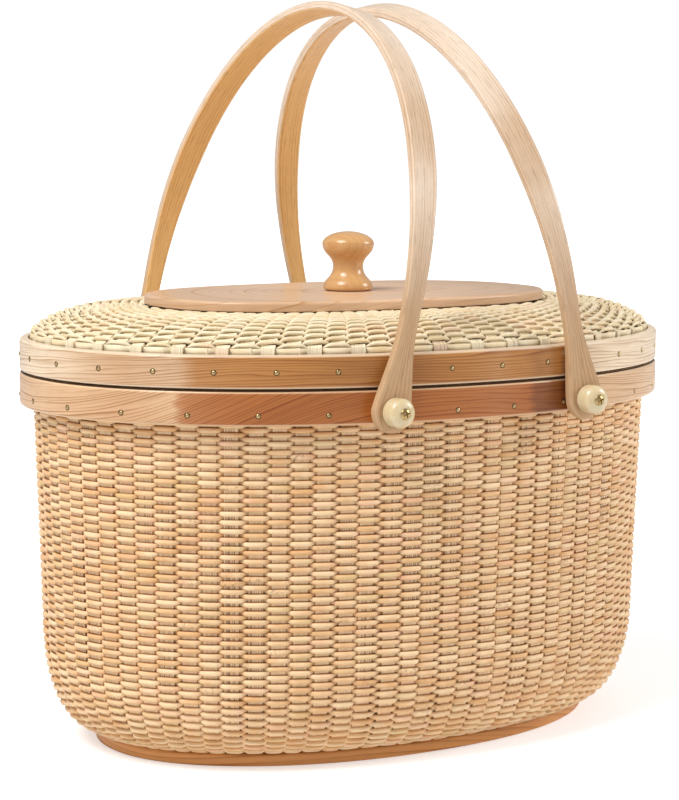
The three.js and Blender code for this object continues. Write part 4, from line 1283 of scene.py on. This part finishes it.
class BASKET_OT_boards(bpy.types.Operator):
    """Shape the base board and the lid's board with their edge grooves"""

    bl_idname = "basket.boards"
    bl_label = "Boards"

    def execute(self, context):
        edge = BOARD_EDGE_RADIUS
        groove = BASE_INSET + GROOVE_DEPTH
        groove_top = FOOT_HEIGHT + BODY_WALL + 2 * SEAT_GAP
        floor_inset = BASE_INSET + GROOVE_DEPTH / 2 + FLOOR_SETBACK
        base = [(None, 0.0)]
        base += rounded_corner((BASE_INSET + edge, edge), edge, 3, 2)
        base += rounded_corner((BASE_INSET + edge, FOOT_HEIGHT - edge), edge, 2, 1)
        base += [(groove, FOOT_HEIGHT), (groove, groove_top), (floor_inset, groove_top)]
        base += [(floor_inset, BASE_TOP), (None, BASE_TOP)]
        mesh = turned_oval("base_board_shaped", base, RIM_OVAL)
        even_normals(piece("base_board_shaped", mesh, "basket", finish("base_board"), ["base_board"]))
        lip = LID_BOARD_TOP - LID_BOARD_LIP
        back = LID_BOARD_BOTTOM + LID_BOARD_BACK
        board = [(None, LID_BOARD_BOTTOM), (GROOVE_DEPTH / 2, LID_BOARD_BOTTOM), (GROOVE_DEPTH / 2, back)]
        board += [(GROOVE_DEPTH, back), (GROOVE_DEPTH, lip)]
        board += rounded_corner((0.4 * MM, lip + 0.4 * MM), 0.4 * MM, 3, 2)
        board += rounded_corner((edge, LID_BOARD_TOP - edge), edge, 2, 1)
        board += [(None, LID_BOARD_TOP)]
        mesh = turned_oval("lid_board_shaped", board, LID_BOARD_OVAL)
        even_normals(piece("lid_board_shaped", mesh, "lid", finish("lid_board"), ["lid_board"]))
        return {"FINISHED"}


class BASKET_OT_tacks(bpy.types.Operator):
    """Drive the brass tacks into the two outer hoops, each with a thin dark ring of painted shadow round its head"""

    bl_idname = "basket.tacks"
    bl_label = "Tacks"

    def execute(self, context):
        sizes = context.scene.basket_trim
        lid_level = (LID_HOOP_BOTTOM + LID_HOOP_TOP) / 2
        body_level = BODY_HOOP_BOTTOM + sizes.body_tack_level
        radius, rise = sizes.tack_radius, sizes.tack_rise
        head = [(0.0, rise), (0.5 * radius, 0.86 * rise), (0.85 * radius, 0.5 * rise), (radius, 0.2 * rise)]
        head += [(0.93 * radius, 0.02 * rise), (0.6 * radius, -0.1 * rise)]
        # A thin dark disc under each head: painted shadow of the countersink round the tack.
        rim = [(0.5 * radius, 0.02 * MM), (1.3 * radius, 0.03 * MM), (1.5 * radius, -0.02 * MM)]
        for name, body, count, shift, level in (
                ("lid_hoop", "lid", sizes.lid_tacks, 0.0, lid_level),
                ("body_hoop", "basket", sizes.body_tacks, 0.2, body_level)):
            shares = [(number + shift) / count for number in range(count)]
            piece(name + "_tacks", self.row_of(name, head, shares, level), body, finish("scuffed_brass"))
            piece(name + "_tack_holes", self.row_of(name, rim, shares, level), body, finish("tack_hole"))
        return {"FINISHED"}

    def row_of(self, name, profile, shares, level):
        """The same small turned shape, set on the hoop's face at each share of the way round."""
        bm = bmesh.new()
        for share in shares:
            spin(bm, profile, TACK_STEPS)
            x, y = RIM_OVAL.point(share)
            out = RIM_OVAL.outward(share)
            turn = Vector((out[0], out[1], 0)).to_track_quat("Z", "Y").to_matrix().to_4x4()
            fresh = [vert for vert in bm.verts if not vert.tag]
            bmesh.ops.transform(bm, matrix=Matrix.Translation((x, y, level)) @ turn, verts=fresh)
            for vert in fresh:
                vert.tag = True
        return finished_mesh(bm, name)


class BASKET_OT_handles(bpy.types.Operator):
    """Bend the two bow handles, from their round ears over the narrow necks to the wide band"""

    bl_idname = "basket.handles"
    bl_label = "Handles"

    def execute(self, context):
        for name, lean in (("handle_left", HANDLE_LEAN), ("handle_right", -HANDLE_LEAN)):
            place = Matrix.Translation(HINGES[name]) @ Matrix.Rotation(lean, 4, "Y")
            sections, tint = self.sections()
            mesh = self.drilled(swept(name + "_bent", sections, tint))
            mesh.transform(place)
            even_normals(piece(name + "_bent", smooth(mesh, 55), name, finish("handle_wood"), [name]))
        return {"FINISHED"}

    def half_width(self, height):
        """Half the leg's width at a height above the pins' axis."""
        reach = math.hypot(NECK_HALF_WIDTH, NECK_HEIGHT)
        lift = math.atan2(NECK_HEIGHT, NECK_HALF_WIDTH) - math.acos(EAR_RADIUS / reach)
        taper = NECK_HEIGHT / 3
        start = (EAR_RADIUS * math.cos(lift), EAR_RADIUS * math.sin(lift))
        ease = start[0] - taper * math.tan(lift)
        low = bezier(start, (ease, start[1] + taper), (NECK_HALF_WIDTH, NECK_HEIGHT - taper),
                     (NECK_HALF_WIDTH, NECK_HEIGHT), 24)
        high = bezier((NECK_HALF_WIDTH, NECK_HEIGHT), (NECK_HALF_WIDTH, NECK_HEIGHT + taper),
                      (BAND_HALF_WIDTH, BAND_START - taper), (BAND_HALF_WIDTH, BAND_START), 24)
        outline = np.concatenate([[start], low, high])
        if height < start[1]:
            return math.sqrt(max(EAR_RADIUS ** 2 - height ** 2, 0))
        return float(np.interp(height, outline[:, 1], outline[:, 0]))

    def stations(self):
        """The middle of the band from one ear over the top to the other: place, outward and ear share."""
        ear = -EAR_RADIUS * np.cos(np.linspace(0, math.pi / 2, 16)) * 0.999
        leg = np.linspace(0, STRAIGHT_LEG, 14)[1:]
        turn = np.linspace(0, math.pi / 2, 44)[1:]
        side = [(HALF_SPAN, height, 1.0, 0.0) for height in np.concatenate([ear, leg])]
        for angle in turn:
            out = Vector((BOW_RISE * math.cos(angle), HALF_SPAN * math.sin(angle))).normalized()
            side.append((
                HALF_SPAN * math.cos(angle), STRAIGHT_LEG + BOW_RISE * math.sin(angle), out.x, out.y))
        other = [(-y, z, -out_y, out_z) for y, z, out_y, out_z in reversed(side[:-1])]
        return side + other

    def sections(self):
        """Rounded sections along the bow, and a value that is 1 on its outer side."""
        full = BAND_THICKNESS / 2
        found, tint = [], []
        for y, z, out_y, out_z in self.stations():
            half = self.half_width(z)
            below = z + EAR_RADIUS
            edge = 1.15 * MM
            thick = full
            if below < edge:
                thick = full - edge + math.sqrt(edge ** 2 - (edge - below) ** 2)
            corner = min(edge, 0.9 * half, 0.9 * thick)
            flat = []
            flat += rounded_corner((half - corner, thick - corner), corner, 0, 1)
            flat += [(0.0, thick)]
            flat += rounded_corner((-half + corner, thick - corner), corner, 1, 2)
            flat += rounded_corner((-half + corner, -thick + corner), corner, 2, 3)
            flat += [(0.0, -thick)]
            flat += rounded_corner((half - corner, -thick + corner), corner, 3, 4)
            found.append([Vector((x, y + out_y * depth, z + out_z * depth)) for x, depth in flat])
            if not tint and thick == full:
                tint = [0.5 + 0.5 * depth / full for x, depth in flat]
        return found, tint

    def drilled(self, mesh):
        """Cuts the pins' hole through both ears."""
        bm = bmesh.new()
        radius = PIN_SCREW_RADIUS + SEAT_GAP
        bmesh.ops.create_cone(
            bm, cap_ends=True, segments=24, radius1=radius, radius2=radius, depth=3 * HALF_SPAN,
            matrix=Matrix.Rotation(math.pi / 2, 4, "X"))
        return cut_out(mesh, bm)


class BASKET_OT_knob(bpy.types.Operator):
    """Turn the lid's knob: a foot, a waist and a rounded cap"""

    bl_idname = "basket.knob"
    bl_label = "Knob"

    def execute(self, context):
        top = KNOB_TOP - KNOB_BOTTOM
        foot, waist, cap = 11.1 * MM, 6.8 * MM, 11.6 * MM
        waist_level, cap_level, edge = 10.5 * MM, 20.7 * MM, 1.2 * MM
        outline = [(0.0, 0.0), (foot - edge, 0.0)]
        outline += rounded_corner((foot - edge, edge), edge, -1, 0)[1:]
        for points in (
                bezier((foot, edge), (foot, waist_level / 2), (waist, waist_level / 2), (waist, waist_level), 16),
                bezier((waist, waist_level), (waist, (waist_level + cap_level) / 2),
                       (cap, (waist_level + cap_level) / 2), (cap, cap_level), 16),
                bezier((cap, cap_level), (cap, (cap_level + top) / 2), (waist, top), (0, top), 18)):
            outline += [tuple(point) for point in points]
        mesh = spun("lid_knob_turned", outline, Matrix.Translation((0, 0, KNOB_BOTTOM)), steps=64)
        piece("lid_knob_turned", mesh, "lid", finish("knob_wood"), ["lid_knob"])
        dress("lid_knob_screw", finish("scuffed_brass"))
        return {"FINISHED"}


class BASKET_OT_pins(bpy.types.Operator):
    """Turn the bone pin knobs and make their cross-slotted brass screws"""

    bl_idname = "basket.pins"
    bl_label = "Pins"

    def execute(self, context):
        for name in PIN_NAMES:
            side = -1 if name.startswith("front") else 1
            x = -PIN_X if name.endswith("left") else PIN_X
            turn = Matrix.Rotation(-side * math.pi / 2, 4, "X")
            place = Matrix.Translation((x, side * PIN_KNOB_FACE, PIN_HEIGHT)) @ turn
            self.knob(name, place)
            self.screw(name, place)
            dress("pin_spacer_" + name, finish("polished_bone"))
        return {"FINISHED"}

    def knob(self, name, place):
        bore = PIN_SCREW_RADIUS + SEAT_GAP
        edge = 0.6 * MM
        profile = [(bore, 0.0), (PIN_KNOB_RADIUS - edge, 0.0)]
        profile += rounded_corner((PIN_KNOB_RADIUS - edge, edge), edge, -1, 0)[1:]
        for turn in np.linspace(0, math.pi / 2, 13):
            profile.append((
                PIN_SCREW_HEAD + (PIN_KNOB_RADIUS - PIN_SCREW_HEAD) * math.cos(turn),
                PIN_KNOB_STRAIGHT + (PIN_KNOB_LENGTH - PIN_KNOB_STRAIGHT) * math.sin(turn)))
        profile += [(bore, PIN_KNOB_LENGTH - 0.25 * MM), (bore, 0.0)]
        mesh = spun("pin_knob_turned_" + name, profile, place)
        piece(mesh.name, mesh, "basket", finish("polished_bone"), ["pin_knob_" + name])

    def screw(self, name, place):
        seat = PIN_KNOB_LENGTH - 0.2 * MM
        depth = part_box("pin_screw_front_left")
        tip = -(PIN_KNOB_FACE + depth[1].y)
        profile = [(0.0, tip), (PIN_SCREW_RADIUS, tip + PIN_SCREW_RADIUS), (PIN_SCREW_RADIUS, seat)]
        profile += [(PIN_SCREW_HEAD * 0.97, seat), (PIN_SCREW_HEAD, seat + 0.3 * MM)]
        profile += [(PIN_SCREW_HEAD * 0.8, seat + 0.9 * MM), (PIN_SCREW_HEAD * 0.4, seat + 1.2 * MM)]
        profile += [(0.0, seat + 1.28 * MM)]
        bm = bmesh.new()
        for quarter in range(2):
            shape = Matrix.Translation((0, 0, seat + 1.1 * MM)) @ Matrix.Rotation(
                math.radians(20) + quarter * math.pi / 2, 4, "Z")
            shape = shape @ Matrix.Diagonal((3.2 * MM, 0.6 * MM, 1.3 * MM, 1))
            bmesh.ops.create_cube(bm, size=1, matrix=shape)
        mesh = cut_out(spun("screw_blank", profile, Matrix.Identity(4), steps=32), bm, use_self=True)
        mesh.transform(place)
        piece("pin_screw_cut_" + name, smooth(mesh), "basket", finish("scuffed_brass"), ["pin_screw_" + name])


class BASKET_PT_panel(bpy.types.Panel):
    """The basket's sizes, colours and steps"""

    bl_label = "Basket"
    bl_idname = "BASKET_PT_panel"
    bl_space_type = "VIEW_3D"
    bl_region_type = "UI"
    bl_category = "Basket"

    def draw(self, context):
        for key in ("basket_weave", "basket_trim", "basket_colours", "basket_stage"):
            group = getattr(context.scene, key)
            box = self.layout.box()
            for name in group.__annotations__:
                box.prop(group, name)
        for step in STEPS:
            self.layout.operator(step.bl_idname)


STEPS = (
    BASKET_OT_stage, BASKET_OT_body_weave, BASKET_OT_lid_weave, BASKET_OT_hoops, BASKET_OT_boards,
    BASKET_OT_tacks, BASKET_OT_handles, BASKET_OT_knob, BASKET_OT_pins)
GROUPS = {
    "basket_weave": WeaveSizes, "basket_trim": TrimSizes, "basket_colours": FinishColours,
    "basket_stage": StageSettings}


def register():
    for group in (*GROUPS.values(), *STEPS, BASKET_PT_panel):
        bpy.utils.register_class(group)
    for key, group in GROUPS.items():
        setattr(bpy.types.Scene, key, PointerProperty(type=group))


def unregister():
    for key in GROUPS:
        delattr(bpy.types.Scene, key)
    for group in (BASKET_PT_panel, *reversed(STEPS), *reversed(GROUPS.values())):
        bpy.utils.unregister_class(group)


def corners(bounds):
    return [list(corner) for corner in bounds]


def main():
    """Builds the whole scene and works out how large it is beside the frame."""
    frame_box = corners(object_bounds())
    register()
    bpy.ops.basket.stage()
    bpy.ops.basket.body_weave()
    bpy.ops.basket.lid_weave()
    bpy.ops.basket.hoops()
    bpy.ops.basket.boards()
    bpy.ops.basket.tacks()
    bpy.ops.basket.handles()
    bpy.ops.basket.knob()
    bpy.ops.basket.pins()
    {"frame": frame_box, "visual": corners(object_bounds())}


if __name__ == "__main__":
    main()
